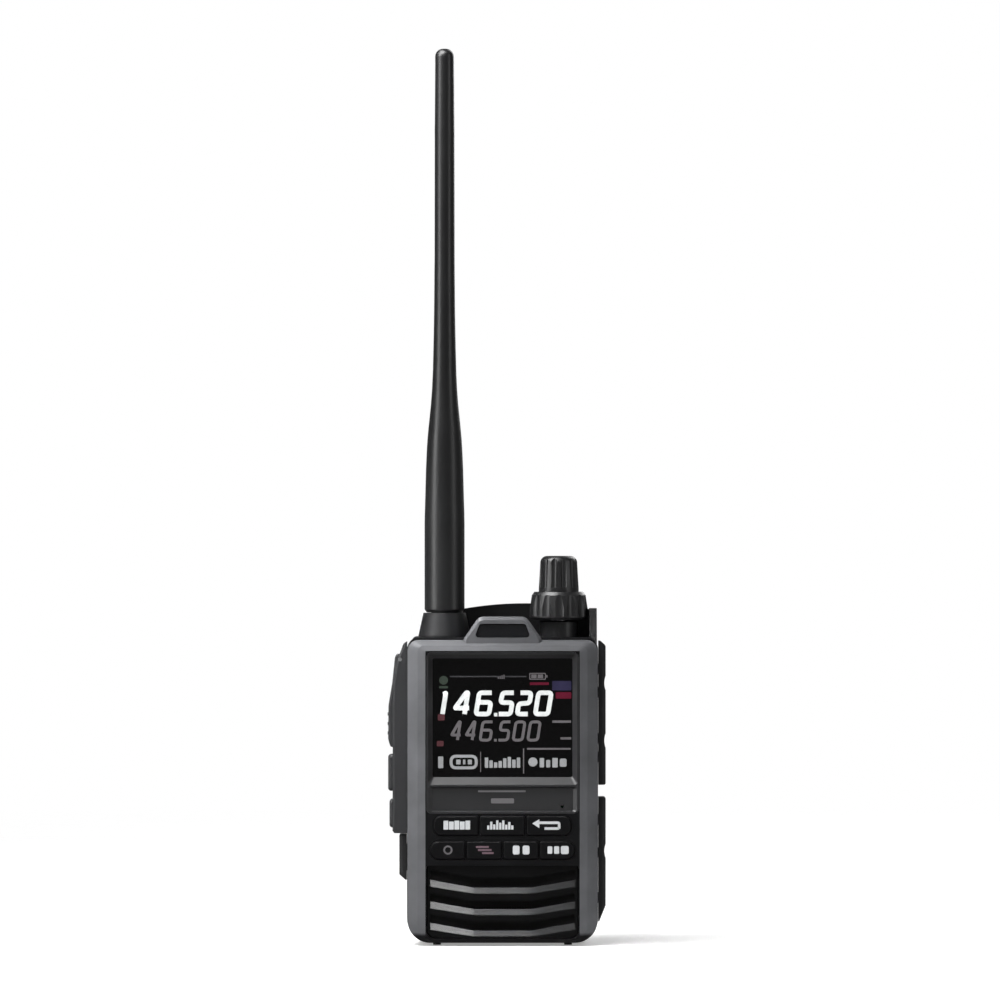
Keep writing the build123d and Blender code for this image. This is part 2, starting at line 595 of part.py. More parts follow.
# ---- Chassis and main board ------------------------------------------------------------
with BuildPart() as chassis:
    with BuildSketch(front_at(11.8)):
        add(upright(25.6, 3.2, 86.0, 4.5, 1.2))
        with Locations(*SCREW_SPOTS):
            Circle(2.75, mode=Mode.SUBTRACT)
        with Locations((0, 33.0)):
            RectangleRounded(22.0, 5.0, 1.2, mode=Mode.SUBTRACT)
    extrude(amount=1.3)
    # Cooling ribs behind the transmitter.
    with BuildSketch(front_at(12.6)):
        with Locations((-16, 56), (-8, 56), (0, 56), (8, 56)):
            RectangleRounded(1.4, 30.0, 0.6)
    extrude(amount=1.0)
keep(chassis, "chassis")

BOARD_FRONT, BOARD_BACK = 14.6, 15.6
with BuildPart() as main_board:
    with BuildSketch(front_at(BOARD_BACK)):
        add(panel(-25.6, 25.6, 14.0, 79.6, 1.0))
        with Locations(*SCREW_SPOTS[2:]):
            Circle(2.75, mode=Mode.SUBTRACT)
        with Locations((19.4, HEADSET_Z)):
            Rectangle(14.6, 8.0, mode=Mode.SUBTRACT)
        with Locations((20.2, POWER_Z)):
            Rectangle(13.4, 7.4, mode=Mode.SUBTRACT)
    extrude(amount=BOARD_BACK - BOARD_FRONT)
    # Sockets for the data plug and the memory card stand at the board's edges.
    with BuildSketch(front_at(16.3)):
        add(panel(18.9, 26.2, USB_Z - 4.5, USB_Z + 4.5, 0.2))
    extrude(amount=3.2)
    with BuildSketch(side_at(20.0)):
        with Locations((JACK_Y, USB_Z)):
            RectangleRounded(2.6, 8.3, 1.2)
    extrude(amount=7.0, mode=Mode.SUBTRACT)
    with BuildSketch(side_at(19.5)):
        with Locations((JACK_Y, USB_Z)):
            Rectangle(0.7, 6.6)
    extrude(amount=5.4)
    with BuildSketch(front_at(16.2)):
        add(panel(-26.1, -11.8, CARD_EAR_Z - 5.6, CARD_EAR_Z + 5.6, 0.2))
    extrude(amount=3.0)
    with BuildSketch(side_at(-26.5)):
        with Locations((JACK_Y, CARD_EAR_Z)):
            Rectangle(1.5, 9.8)
    extrude(amount=12.5, mode=Mode.SUBTRACT)
    # Filters, regulators and connectors on the front of the board.
    for x, z, w, h, t in (
        (-14.0, 72.5, 9.0, 7.0, 1.6), (0.0, 74.0, 10.0, 6.0, 1.4), (-18.0, 46.0, 8.0, 10.0, 1.7),
        (16.0, 45.0, 7.0, 7.0, 1.5), (0.0, 33.0, 18.0, 3.2, 2.2), (4.0, 20.0, 9.0, 5.0, 1.5),
    ):
        with BuildSketch(front_at(BOARD_FRONT + 0.05)):
            with Locations((x, z)):
                Rectangle(w, h)
        extrude(amount=t)
keep(main_board, "main_board")

with BuildPart() as shield_can:
    can = [(-22.0, 35.0), (20.0, 35.0), (20.0, 54.0), (11.0, 54.0), (11.0, 70.0), (-22.0, 70.0)]
    inner = [(-21.7, 35.3), (19.7, 35.3), (19.7, 53.7), (10.7, 53.7), (10.7, 69.7), (-21.7, 69.7)]
    with BuildSketch(front_at(18.2)):
        add(outline(can, 0.6))
    extrude(amount=18.2 - BOARD_BACK - 0.03)
    with BuildSketch(front_at(17.9)):
        add(outline(inner, 0.4))
    extrude(amount=3.0, mode=Mode.SUBTRACT)
    with BuildSketch(front_at(18.0)):
        with Locations((-4.0, 52.5)):
            Rectangle(0.3, 34.8)
    extrude(amount=18.0 - BOARD_BACK - 0.03)
keep(shield_can, "shield_can")

# ---- Sockets on the right --------------------------------------------------------------
with BuildPart() as headset_jack:
    with BuildSketch(side_at(12.4)):
        with Locations((15.15, HEADSET_Z)):
            RectangleRounded(6.2, 7.4, 0.6)
    extrude(amount=13.6)
    with BuildSketch(side_at(25.8)):
        with Locations((JACK_Y, HEADSET_Z)):
            Circle(3.1)
    extrude(amount=1.3)
    with BuildSketch(side_at(13.1)):
        with Locations((JACK_Y, HEADSET_Z)):
            Circle(1.75)
    extrude(amount=15.0, mode=Mode.SUBTRACT)
keep(headset_jack, "headset_jack")

with BuildPart() as power_jack:
    with BuildSketch(side_at(13.8)):
        with Locations((15.15, POWER_Z)):
            RectangleRounded(6.2, 7.0, 0.6)
    extrude(amount=12.2)
    with BuildSketch(side_at(25.8)):
        with Locations((JACK_Y, POWER_Z)):
            Circle(2.9)
    extrude(amount=1.3)
    with BuildSketch(side_at(18.0)):
        with Locations((JACK_Y, POWER_Z)):
            Circle(2.2)
    extrude(amount=10.0, mode=Mode.SUBTRACT)
    with BuildSketch(side_at(17.9)):
        with Locations((JACK_Y, POWER_Z)):
            Circle(0.65)
    extrude(amount=7.6)
keep(power_jack, "power_jack")

# ---- Antenna connector and antenna -----------------------------------------------------
def standing(x):
    """The upright plane through the antenna's or the knobs' axis, for half profiles."""
    return Plane(origin=(x, TOP_Y, 0), x_dir=(1, 0, 0), z_dir=(0, -1, 0))


def turned(points):
    """A half profile of (radius, height) points."""
    with BuildSketch() as made:
        with BuildLine():
            Polyline(*points, close=True)
        make_face()
    return made.sketch


ANTENNA_AXIS = Axis((ANTENNA_X, TOP_Y, 0), (0, 0, 1))
KNOB_AXIS = Axis((KNOB_X, TOP_Y, 0), (0, 0, 1))
JACK_TOP = BOSS_TOP + THREAD_LENGTH
ANTENNA_LOW = BOSS_TOP + 0.15

with BuildPart() as antenna_jack:
    with BuildSketch(top_at(82.6)):
        with Locations((ANTENNA_X, 15.7)):
            RectangleRounded(7.0, 5.4, 0.5)
    extrude(amount=DECK_Z - WALL - 0.05 - 82.6)
    with BuildSketch(standing(ANTENNA_X)):
        add(turned([(0, 88.0), (THREAD_R - 0.25, 88.0), (THREAD_R - 0.25, BOSS_TOP),
                               (THREAD_R, BOSS_TOP + 0.3), (THREAD_R, JACK_TOP - 0.3),
                               (THREAD_R - 0.3, JACK_TOP), (0, JACK_TOP)]))
    revolve(axis=ANTENNA_AXIS)
    with BuildSketch(top_at(94.0)):
        with Locations((ANTENNA_X, TOP_Y)):
            Circle(0.72)
    extrude(amount=8.0, mode=Mode.SUBTRACT)
keep(antenna_jack, "antenna_jack")

with BuildPart() as antenna_contact:
    # The centre pin, its insulator and the spigot that the nut turns on.
    with BuildSketch(standing(ANTENNA_X)):
        add(turned([(0, 95.6), (0.65, 96.0), (0.65, 101.6), (2.6, 101.6), (2.6, 102.5),
                               (1.0, 102.5), (1.0, 104.4), (0, 104.4)]))
    revolve(axis=ANTENNA_AXIS)
keep(antenna_contact, "antenna_contact")

with BuildPart() as antenna_ferrule:
    bore = THREAD_R + 0.05
    with BuildSketch(standing(ANTENNA_X)):
        add(turned([(bore, ANTENNA_LOW + 0.3), (4.2, ANTENNA_LOW + 0.3), (4.2, 105.0),
                               (3.0, 106.6), (0, 106.6), (0, 104.7), (1.06, 104.7), (1.06, 102.65),
                               (bore, 102.65)]))
    revolve(axis=ANTENNA_AXIS)
keep(antenna_ferrule, "antenna_ferrule")

with BuildPart() as antenna_core:
    with BuildSketch(top_at(106.65)):
        with Locations((ANTENNA_X, TOP_Y)):
            Circle(0.9)
    extrude(amount=150.0)
keep(antenna_core, "antenna_core")

with BuildPart() as antenna_sheath:
    with BuildSketch(standing(ANTENNA_X)):
        with BuildLine():
            Polyline((0, ANTENNA_TOP), (0, ANTENNA_LOW), (5.3, ANTENNA_LOW), (5.9, ANTENNA_LOW + 0.9), (5.9, 124.0))
            Spline(
                (5.9, 124.0), (5.75, 130.0), (5.55, 138.0), (5.28, 145.0), (4.95, 150.0), (4.45, 155.0),
                (3.92, 160.5), (3.6, 165.5), (3.38, 172.0), (3.22, 179.0), (3.08, 188.0), (2.98, 200.0),
                tangents=((0, 1), (-0.01, 1)),
            )
            Polyline((2.98, 200.0), (2.92, 240.0), (2.76, ANTENNA_TOP), (0, ANTENNA_TOP))
        make_face()
    revolve(axis=ANTENNA_AXIS)
    fillet(antenna_sheath.edges().sort_by(Axis.Z)[-1], 2.3)
    with BuildSketch(standing(ANTENNA_X)):
        add(turned([(0, ANTENNA_LOW - 1), (4.25, ANTENNA_LOW - 1), (4.25, 105.0), (3.05, 106.65),
                               (0.95, 106.65), (0.95, 256.8), (0, 256.8)]))
    revolve(axis=ANTENNA_AXIS, mode=Mode.SUBTRACT)
keep(antenna_sheath, "antenna_sheath")

# ---- Encoder and knobs -----------------------------------------------------------------
with BuildPart() as encoder:
    with BuildSketch(top_at(80.6)):
        with Locations((KNOB_X, 15.4)):
            RectangleRounded(9.6, 6.2, 0.6)
    extrude(amount=DECK_Z - WALL - 0.05 - 80.6)
    with BuildSketch(top_at(88.0)):
        with Locations((KNOB_X, TOP_Y)):
            Circle(3.4)
    extrude(amount=93.4 - 88.0)
    with BuildSketch(top_at(83.4)):
        with Locations((KNOB_X, TOP_Y)):
            Circle(1.5)
    extrude(amount=12.0, mode=Mode.SUBTRACT)
    with BuildSketch(top_at(86.3)):
        with Locations((KNOB_X, TOP_Y)):
            Circle(2.46)
    extrude(amount=10.0, mode=Mode.SUBTRACT)
keep(encoder, "encoder")

with BuildPart() as encoder_nut:
    with BuildSketch(standing(KNOB_X)):
        add(turned([(3.46, 90.55), (5.6, 90.55), (5.6, 94.9), (5.1, 95.3), (2.6, 95.3), (2.6, 93.5),
                            (3.46, 93.5)]))
    revolve(axis=KNOB_AXIS)
keep(encoder_nut, "encoder_nut")

with BuildPart() as volume_shaft:
    with BuildSketch(standing(KNOB_X)):
        add(turned([(1.5, 86.5), (2.4, 86.5), (2.4, 102.4), (1.5, 102.4)]))
    revolve(axis=KNOB_AXIS)
keep(volume_shaft, "volume_shaft")

with BuildPart() as dial_shaft:
    with BuildSketch(standing(KNOB_X)):
        add(turned([(0, 83.6), (1.44, 83.6), (1.44, 112.4), (1.2, 112.7), (0, 112.7)]))
    revolve(axis=KNOB_AXIS)
    # A flat keys the dial knob to the shaft.
    with BuildSketch(top_at(106.0)):
        with Locations((KNOB_X, TOP_Y + 1.9)):
            Rectangle(4.0, 2.0)
    extrude(amount=8.0, mode=Mode.SUBTRACT)
keep(dial_shaft, "dial_shaft")

with BuildPart() as volume_knob:
    with BuildSketch(standing(KNOB_X)):
        add(turned([(2.45, RING_LOW + 1.2), (6.4, RING_LOW + 1.2), (6.4, RING_LOW), (8.0, RING_LOW),
                            (8.6, RING_LOW + 0.7), (8.55, RING_LOW + 3.2), (7.95, RING_HIGH - 1.0),
                            (7.2, RING_HIGH), (6.3, RING_HIGH), (6.3, RING_HIGH - 0.8), (2.45, RING_HIGH - 0.8)]))
    revolve(axis=KNOB_AXIS)
    # Broad scallops round the rim.
    with BuildSketch(top_at(RING_LOW + 1.0)):
        with Locations((KNOB_X, TOP_Y)):
            with PolarLocations(10.6, 14, start_angle=270):
                Circle(2.55)
    extrude(amount=12.0, taper=-2, mode=Mode.SUBTRACT)
keep(volume_knob, "volume_knob")

with BuildPart() as dial_knob:
    with BuildSketch(standing(KNOB_X)):
        with BuildLine():
            Polyline((0, DIAL_HIGH), (0, RING_HIGH - 0.6), (5.9, RING_HIGH - 0.6), (5.9, DIAL_LOW + 0.8), (5.45, 112.2))
            ThreePointArc((5.45, 112.2), (4.9, 113.75), (3.4, DIAL_HIGH))
            Line((3.4, DIAL_HIGH), (0, DIAL_HIGH))
        make_face()
    revolve(axis=KNOB_AXIS)
    with BuildSketch(top_at(DIAL_LOW + 1.1)):
        with Locations((KNOB_X, TOP_Y)):
            with PolarLocations(6.25, 12, start_angle=255):
                Circle(0.95)
    extrude(amount=12.0, taper=-2.2, mode=Mode.SUBTRACT)
    with BuildSketch(top_at(RING_HIGH - 0.7)):
        with Locations((KNOB_X, TOP_Y)):
            Circle(1.5)
    extrude(amount=DIAL_LOW + 8.8 - RING_HIGH + 0.7, mode=Mode.SUBTRACT)
keep(dial_knob, "dial_knob")

# ---- Side keys on the left -------------------------------------------------------------
BEZEL_FRONT_Y, BEZEL_BACK_Y = 10.3, 19.5
KEY_SPANS = {"monitor_key": (45.2, 56.0, -33.7), "lock_key": (34.4, 42.8, -33.3)}


def bezel_outline(inset):
    """The bezel's outline in the front view, its outer edge drawn in by the inset."""
    return outline(
        [(-28.15, 32.8), (-28.15, 89.2), (-29.2 + inset, 88.6), (-31.2 + inset, 83.0), (-32.3 + inset, 76.0),
         (-32.4 + inset, 33.4 + inset), (-31.8 + inset, 32.8)],
        [0, 0, 1.0, 5.0, 5.0, 0.4, 0.3],
    )


def lever_outline(inset):
    """The push-to-talk lever's outline, its outer edge drawn in by the inset."""
    return outline(
        [(-30.3, 58.1), (-33.0 + inset, 58.1), (-33.7 + inset, 60.5), (-33.6 + inset, 70.5), (-32.5 + inset, 77.0),
         (-31.7 + inset, 84.6), (-31.2 + inset, 85.5), (-29.2, 85.5), (-29.0, 82.6), (-30.3, 80.0)],
        [0.4, 0.8, 3.0, 8.0, 6.0, 0.3, 0.3, 0.4, 0.8, 1.2],
    )


def rounded_slab(profile, y_low, y_high, inset):
    """Sections of a slab whose outer edge is bevelled at the front and the back."""
    return ((y_low, profile(inset)), (y_low + inset, profile(0)), (y_high - inset, profile(0)), (y_high, profile(inset)))


with BuildPart() as side_key_bezel:
    for y, section in rounded_slab(bezel_outline, BEZEL_FRONT_Y, BEZEL_BACK_Y, 0.6):
        with BuildSketch(front_at(y)):
            add(section)
    loft(ruled=True)
    for low, high, radius in ((57.6, 86.6, 0.2), (45.2 - FIT, 56.0 + FIT, 1.2), (34.4 - FIT, 42.8 + FIT, 1.2)):
        with BuildSketch(side_at(-40.0)):
            add(panel(SIDE_LOW_Y - FIT, SIDE_HIGH_Y + FIT, low, high, radius))
        extrude(amount=13.0, mode=Mode.SUBTRACT)
    # Behind each sliding key the opening widens for the key's flange.
    for low, high, _ in KEY_SPANS.values():
        with BuildSketch(side_at(-30.0)):
            add(panel(SIDE_LOW_Y - FIT - 0.5, SIDE_HIGH_Y + FIT + 0.5, low - FIT - 0.5, high + FIT + 0.5, 1.2))
        extrude(amount=2.0, mode=Mode.SUBTRACT)
    with BuildSketch(front_at(BEZEL_BACK_Y + 0.1)):
        with Locations((PTT_PIVOT_X, PTT_PIVOT_Z)):
            Circle(0.62)
    extrude(amount=BEZEL_BACK_Y - BEZEL_FRONT_Y + 0.2, mode=Mode.SUBTRACT)
keep(side_key_bezel, "side_key_bezel")

with BuildPart() as ptt_pin:
    with BuildSketch(front_at(BEZEL_BACK_Y - 0.1)):
        with Locations((PTT_PIVOT_X, PTT_PIVOT_Z)):
            Circle(0.6)
    extrude(amount=BEZEL_BACK_Y - BEZEL_FRONT_Y - 0.2)
keep(ptt_pin, "ptt_pin")

with BuildPart() as ptt_lever:
    for y, section in rounded_slab(lever_outline, SIDE_LOW_Y, SIDE_HIGH_Y, 0.6):
        with BuildSketch(front_at(y)):
            add(section)
    loft(ruled=True)
    # A nub presses the switch, and three bars give the thumb a grip.
    with BuildSketch(side_at(-30.5)):
        with Locations((14.9, SWITCH_Z[0])):
            Circle(1.2)
    extrude(amount=0.8)
    with BuildSketch(side_at(-33.85)):
        with Locations((14.9, 62.2), (14.9, 65.0), (14.9, 67.8)):
            SlotOverall(4.6, 0.9)
    extrude(amount=1.0)
    with BuildSketch(front_at(SIDE_HIGH_Y + 0.1)):
        with Locations((PTT_PIVOT_X, PTT_PIVOT_Z)):
            Circle(0.66)
    extrude(amount=SIDE_HIGH_Y - SIDE_LOW_Y + 0.2, mode=Mode.SUBTRACT)
keep(ptt_lever, "ptt_lever")

for name, (low, high, crest) in KEY_SPANS.items():
    with BuildPart() as side_key:
        with BuildSketch(side_at(-29.4)):
            add(panel(SIDE_LOW_Y, SIDE_HIGH_Y, low, high, 1.1))
        extrude(amount=crest + 29.4)
        cap_face = side_key.faces().sort_by(Axis.X)[0]
        fillet(cap_face.edges(), 0.9)
        # A hollow in the cap, or a raised bar on it, tells the keys apart by touch.
        if name == "monitor_key":
            with BuildSketch(side_at(crest - 0.05)):
                with Locations(((SIDE_LOW_Y + SIDE_HIGH_Y) / 2, (low + high) / 2)):
                    SlotOverall(6.0, 2.6, rotation=90)
            extrude(amount=0.4, mode=Mode.SUBTRACT)
        flange = panel(SIDE_LOW_Y - 0.45, SIDE_HIGH_Y + 0.45, low - 0.45, high + 0.45, 1.1)
        with BuildSketch(side_at(-29.9)):
            add(flange)
        extrude(amount=0.7)
    keep(side_key, name)

with BuildPart() as side_switches:
    with BuildSketch(side_at(-26.15)):
        add(panel(12.6, 17.2, 35.0, 68.0, 0.8))
    extrude(amount=0.5)
    with BuildSketch(side_at(-28.45)):
        for z in SWITCH_Z:
            with Locations((14.9, z)):
                Circle(1.45)
    extrude(amount=2.5)
keep(side_switches, "side_switches")

# ---- Rubber covers ---------------------------------------------------------------------
def cover_section(sign):
    """A cover's section seen from above: a slab with its rear edge round the hinge pin."""
    inner, outer, pivot = sign * 28.25, sign * COVER_OUT, sign * COVER_PIVOT_X
    with BuildSketch() as made:
        with BuildLine():
            Polyline((inner, COVER_PIVOT_Y), (inner, SIDE_LOW_Y), (outer - sign * 0.9, SIDE_LOW_Y),
                     (outer, SIDE_LOW_Y + 0.9), (outer, COVER_PIVOT_Y))
            Line((outer, COVER_PIVOT_Y), (pivot + sign * 1.05, COVER_PIVOT_Y))
            ThreePointArc((pivot + sign * 1.05, COVER_PIVOT_Y), (pivot, COVER_PIVOT_Y + 1.05),
                          (pivot - sign * 1.05, COVER_PIVOT_Y))
            Line((pivot - sign * 1.05, COVER_PIVOT_Y), (inner, COVER_PIVOT_Y))
        make_face()
    return made.sketch


for name, (low, high) in COVER_SPANS.items():
    with BuildPart() as cover:
        with BuildSketch(top_at(low)):
            add(cover_section(1))
        extrude(amount=high - low)
        # The ends and the finger scallops are shaped in the front view.
        if name == "upper_jack_cover":
            shape = [(27.0, low), (COVER_OUT, low), (COVER_OUT, 88.0), (28.9, high), (27.0, high)]
            dips = (77.0, 60.0)
        else:
            shape = [(27.0, low), (28.4, low), (COVER_OUT, 11.5), (COVER_OUT, high), (27.0, high)]
            dips = (27.5,)
        with BuildSketch(front_at(22.0)):
            add(outline(shape, [0, 0.6, 0.9, 0.6, 0]))
        extrude(amount=14.0, mode=Mode.INTERSECT)
        with BuildSketch(front_at(22.0)):
            for z in dips:
                with Locations((COVER_OUT + 5.6, z)):
                    Circle(6.0)
        extrude(amount=14.0, mode=Mode.SUBTRACT)
        for z in EAR_SPOTS[name]:
            with BuildSketch(top_at(z - EAR_HALF - 0.15)):
                with Locations((29.5, 19.4)):
                    Rectangle(4.0, 3.6)
            extrude(amount=2 * EAR_HALF + 0.3, mode=Mode.SUBTRACT)
            with BuildSketch(top_at(z - EAR_HALF - 0.6)):
                with Locations((COVER_PIVOT_X, COVER_PIVOT_Y)):
                    Circle(0.5)
            extrude(amount=2 * EAR_HALF + 1.2)
        # Low pads on the inside close the socket seats.
        pads = ((HEADSET_Z, 1.6), (POWER_Z, 1.6)) if name == "upper_jack_cover" else ((USB_Z, 1.5),)
        with BuildSketch(side_at(27.45)):
            for z, r in pads:
                with Locations((JACK_Y, z)):
                    Circle(r)
        extrude(amount=1.0)
    keep(cover, name)

with BuildPart() as card_cover:
    low, high = CARD_SPAN
    with BuildSketch(top_at(low)):
        add(cover_section(-1))
    extrude(amount=high - low)
    with BuildSketch(front_at(22.0)):
        add(outline([(-27.0, low), (-28.5, low), (-COVER_OUT, low + 1.6), (-COVER_OUT, high), (-27.0, high)],
                    [0, 0.5, 0.5, 0.4, 0]))
    extrude(amount=14.0, mode=Mode.INTERSECT)
    with BuildSketch(top_at(CARD_EAR_Z - EAR_HALF - 0.15)):
        with Locations((-29.5, 19.4)):
            Rectangle(4.0, 3.6)
    extrude(amount=2 * EAR_HALF + 0.3, mode=Mode.SUBTRACT)
    with BuildSketch(top_at(CARD_EAR_Z - EAR_HALF - 0.6)):
        with Locations((-COVER_PIVOT_X, COVER_PIVOT_Y)):
            Circle(0.5)
    extrude(amount=2 * EAR_HALF + 1.2)
    with BuildSketch(side_at(-28.4)):
        with Locations((JACK_Y, CARD_EAR_Z)):
            Rectangle(1.2, 8.0)
    extrude(amount=0.9)
keep(card_cover, "card_cover")

# ---- Vibration motor and battery contacts ----------------------------------------------
MOTOR_Y, MOTOR_Z = 15.0, 8.4
with BuildPart() as vibration_motor:
    with BuildSketch(side_at(-20.0)):
        with Locations((MOTOR_Y, MOTOR_Z)):
            Circle(2.3)
    extrude(amount=12.0)
    with BuildSketch(side_at(-19.0)):
        add(panel(MOTOR_Y, 18.6, MOTOR_Z - 2.2, MOTOR_Z + 2.2, 0.4))
    extrude(amount=10.0)
    with BuildSketch(side_at(-13.0)):
        with Locations((MOTOR_Y, MOTOR_Z)):
            Circle(0.55)
    extrude(amount=6.0, mode=Mode.SUBTRACT)
keep(vibration_motor, "vibration_motor")

with BuildPart() as motor_weight:
    with BuildSketch(side_at(-12.6)):
        with Locations((MOTOR_Y, MOTOR_Z)):
            Circle(0.5)
    extrude(amount=7.8)
    with BuildSketch(side_at(-7.6)):
        with Locations((MOTOR_Y, MOTOR_Z)):
            Circle(2.5)
        with Locations((MOTOR_Y, MOTOR_Z + 2.1)):
            Rectangle(6.0, 2.8, mode=Mode.SUBTRACT)
    extrude(amount=2.8)
keep(motor_weight, "motor_weight")

with BuildPart() as battery_contacts:
    with BuildSketch(front_at(20.3)):
        add(panel(-7.85, 7.85, CONTACT_Z - 2.85, CONTACT_Z + 2.85, 0.5))
    extrude(amount=20.3 - BOARD_BACK - 0.02)
    with BuildSketch(front_at(21.4)):
        with Locations((-5.1, CONTACT_Z), (-1.7, CONTACT_Z), (1.7, CONTACT_Z), (5.1, CONTACT_Z)):
            RectangleRounded(1.5, 3.4, 0.5)
    extrude(amount=1.3)
keep(battery_contacts, "battery_contacts")

# ---- Battery pack ----------------------------------------------------------------------
with BuildPart() as battery_tray:
    with BuildSketch(front_at(COVER_JOINT)):
        add(upright(BATTERY_HALF, BATTERY_LOW, BATTERY_HIGH, 4.5, 1.2))
    extrude(amount=COVER_JOINT - BATTERY_FRONT)
    with BuildSketch(front_at(COVER_JOINT)):
        add(upright(BATTERY_HALF - 1.6, BATTERY_LOW + 1.6, BATTERY_HIGH - 1.6, 3.2, 0.8))
    extrude(amount=COVER_JOINT - BATTERY_FRONT - 1.7, mode=Mode.SUBTRACT)
    # Recess for the spring contacts, with one slot for each terminal.
    with BuildSketch(front_at(BATTERY_FRONT + 0.9)):
        with Locations((0, CONTACT_Z)):
            RectangleRounded(14.6, 5.4, 0.6)
    extrude(amount=1.0, mode=Mode.SUBTRACT)
    with BuildSketch(front_at(BATTERY_FRONT + 2.0)):
        with Locations((-5.1, CONTACT_Z), (-1.7, CONTACT_Z), (1.7, CONTACT_Z), (5.1, CONTACT_Z)):
            Rectangle(2.1, 4.3)
    extrude(amount=2.0, mode=Mode.SUBTRACT)
    with BuildSketch(front_at(BATTERY_FRONT + 0.3)):
        with Locations((-17, 76.0), (17, 76.0)):
            Circle(1.6)
    extrude(amount=1.5)
    # Catch for the latch's tooth, and thumb grooves at the top corners.
    with BuildSketch(top_at(BATTERY_LOW - 0.1)):
        with Locations((LATCH_TRAVEL / 2, 28.2)):
            Rectangle(7.6, 3.0)
    extrude(amount=0.9, mode=Mode.SUBTRACT)
    with BuildSketch(front_at(COVER_JOINT)):
        for x in (-1, 1):
            with Locations((x * BATTERY_HALF, 74.5), (x * BATTERY_HALF, 71.5), (x * BATTERY_HALF, 68.5)):
                Circle(0.8)
    extrude(amount=7.0, mode=Mode.SUBTRACT)
keep(battery_tray, "battery_tray")

with BuildPart() as battery_cover:
    with BuildSketch(front_at(BACK_Y)):
        add(upright(BATTERY_HALF, BATTERY_LOW, BATTERY_HIGH, 4.5, 1.2))
    extrude(amount=BACK_Y - COVER_JOINT - 0.02)
    rear = battery_cover.faces().sort_by(Axis.Y)[-1]
    chamfer(rear.edges(), length=0.8)
    with BuildSketch(front_at(BACK_Y + 1)):
        with Locations((-4.5, 60.4), (4.5, 60.4), (0, 74.6)):
            Circle(0.75)
    extrude(amount=4.0, mode=Mode.SUBTRACT)
    # Shallow field for the rating label.
    with BuildSketch(front_at(BACK_Y + 0.1)):
        add(panel(-19.0, 19.0, 20.0, 48.0, 1.5))
    extrude(amount=0.3, mode=Mode.SUBTRACT)
keep(battery_cover, "battery_cover")

with BuildPart() as battery_cells:
    with BuildSketch(front_at(30.6)):
        with Locations((-12.2, 44.0), (12.2, 44.0)):
            RectangleRounded(23.8, 72.0, 1.0)
    extrude(amount=30.6 - BATTERY_FRONT - 1.9)
keep(battery_cells, "battery_cells")

with BuildPart() as battery_latch:
    with BuildSketch(front_at(31.2)):
        with Locations((0, LATCH_Z)):
            Rectangle(2 * LATCH_HALF, 1.44)
    extrude(amount=6.0)
    # The tooth stands up through the shelf; ribs at the back are for the thumb.
    with BuildSketch(top_at(LATCH_Z)):
        with Locations((0, 28.2)):
            Rectangle(3.4, 2.7)
    extrude(amount=BATTERY_LOW - 0.12 - LATCH_Z)
    with BuildSketch(front_at(32.0)):
        with Locations((-3.2, LATCH_Z), (-1.6, LATCH_Z), (0, LATCH_Z), (1.6, LATCH_Z), (3.2, LATCH_Z)):
            Rectangle(0.8, 1.3)
    extrude(amount=1.0)
keep(battery_latch, "battery_latch")

# ---- Belt clip -------------------------------------------------------------------------
EAR_IN, EAR_OUT = 7.2, 9.0

with BuildPart() as clip_bracket:
    with BuildSketch(front_at(34.2)):
        add(panel(-EAR_OUT, EAR_OUT, 56.5, 78.0, 1.6))
    extrude(amount=34.2 - BACK_Y - 0.02)
    for x in (-EAR_OUT, EAR_IN):
        with BuildSketch(side_at(x)):
            add(outline([(33.0, 61.6), (33.0, 74.4), (37.8, 70.4), (37.8, 65.6)], [0, 0, 1.8, 1.8]))
        extrude(amount=EAR_OUT - EAR_IN)
    with BuildSketch(side_at(-EAR_OUT - 0.1)):
        with Locations((CLIP_PIVOT_Y, CLIP_PIVOT_Z)):
            Circle(1.02)
    extrude(amount=2 * EAR_OUT + 0.2, mode=Mode.SUBTRACT)
    with BuildSketch(front_at(35.0)):
        with Locations((-4.5, 60.4), (4.5, 60.4), (0, 74.6)):
            Circle(0.9)
    extrude(amount=3.0, mode=Mode.SUBTRACT)
    with BuildSketch(front_at(34.3)):
        with Locations((-4.5, 60.4), (4.5, 60.4), (0, 74.6)):
            Circle(1.75)
    extrude(amount=0.9, mode=Mode.SUBTRACT)
keep(clip_bracket, "clip_bracket")

with BuildPart() as clip_screws:
    with BuildSketch(front_at(34.15)):
        with Locations((-4.5, 60.4), (4.5, 60.4), (0, 74.6)):
            Circle(1.6)
    extrude(amount=0.7)
    with BuildSketch(front_at(34.0)):
        with Locations((-4.5, 60.4), (4.5, 60.4), (0, 74.6)):
            Circle(0.7)
    extrude(amount=2.6)
keep(clip_screws, "clip_screws")

with BuildPart() as clip_pin:
    with BuildSketch(side_at(-EAR_OUT)):
        with Locations((CLIP_PIVOT_Y, CLIP_PIVOT_Z)):
            Circle(1.0)
    extrude(amount=2 * EAR_OUT)
keep(clip_pin, "clip_pin")

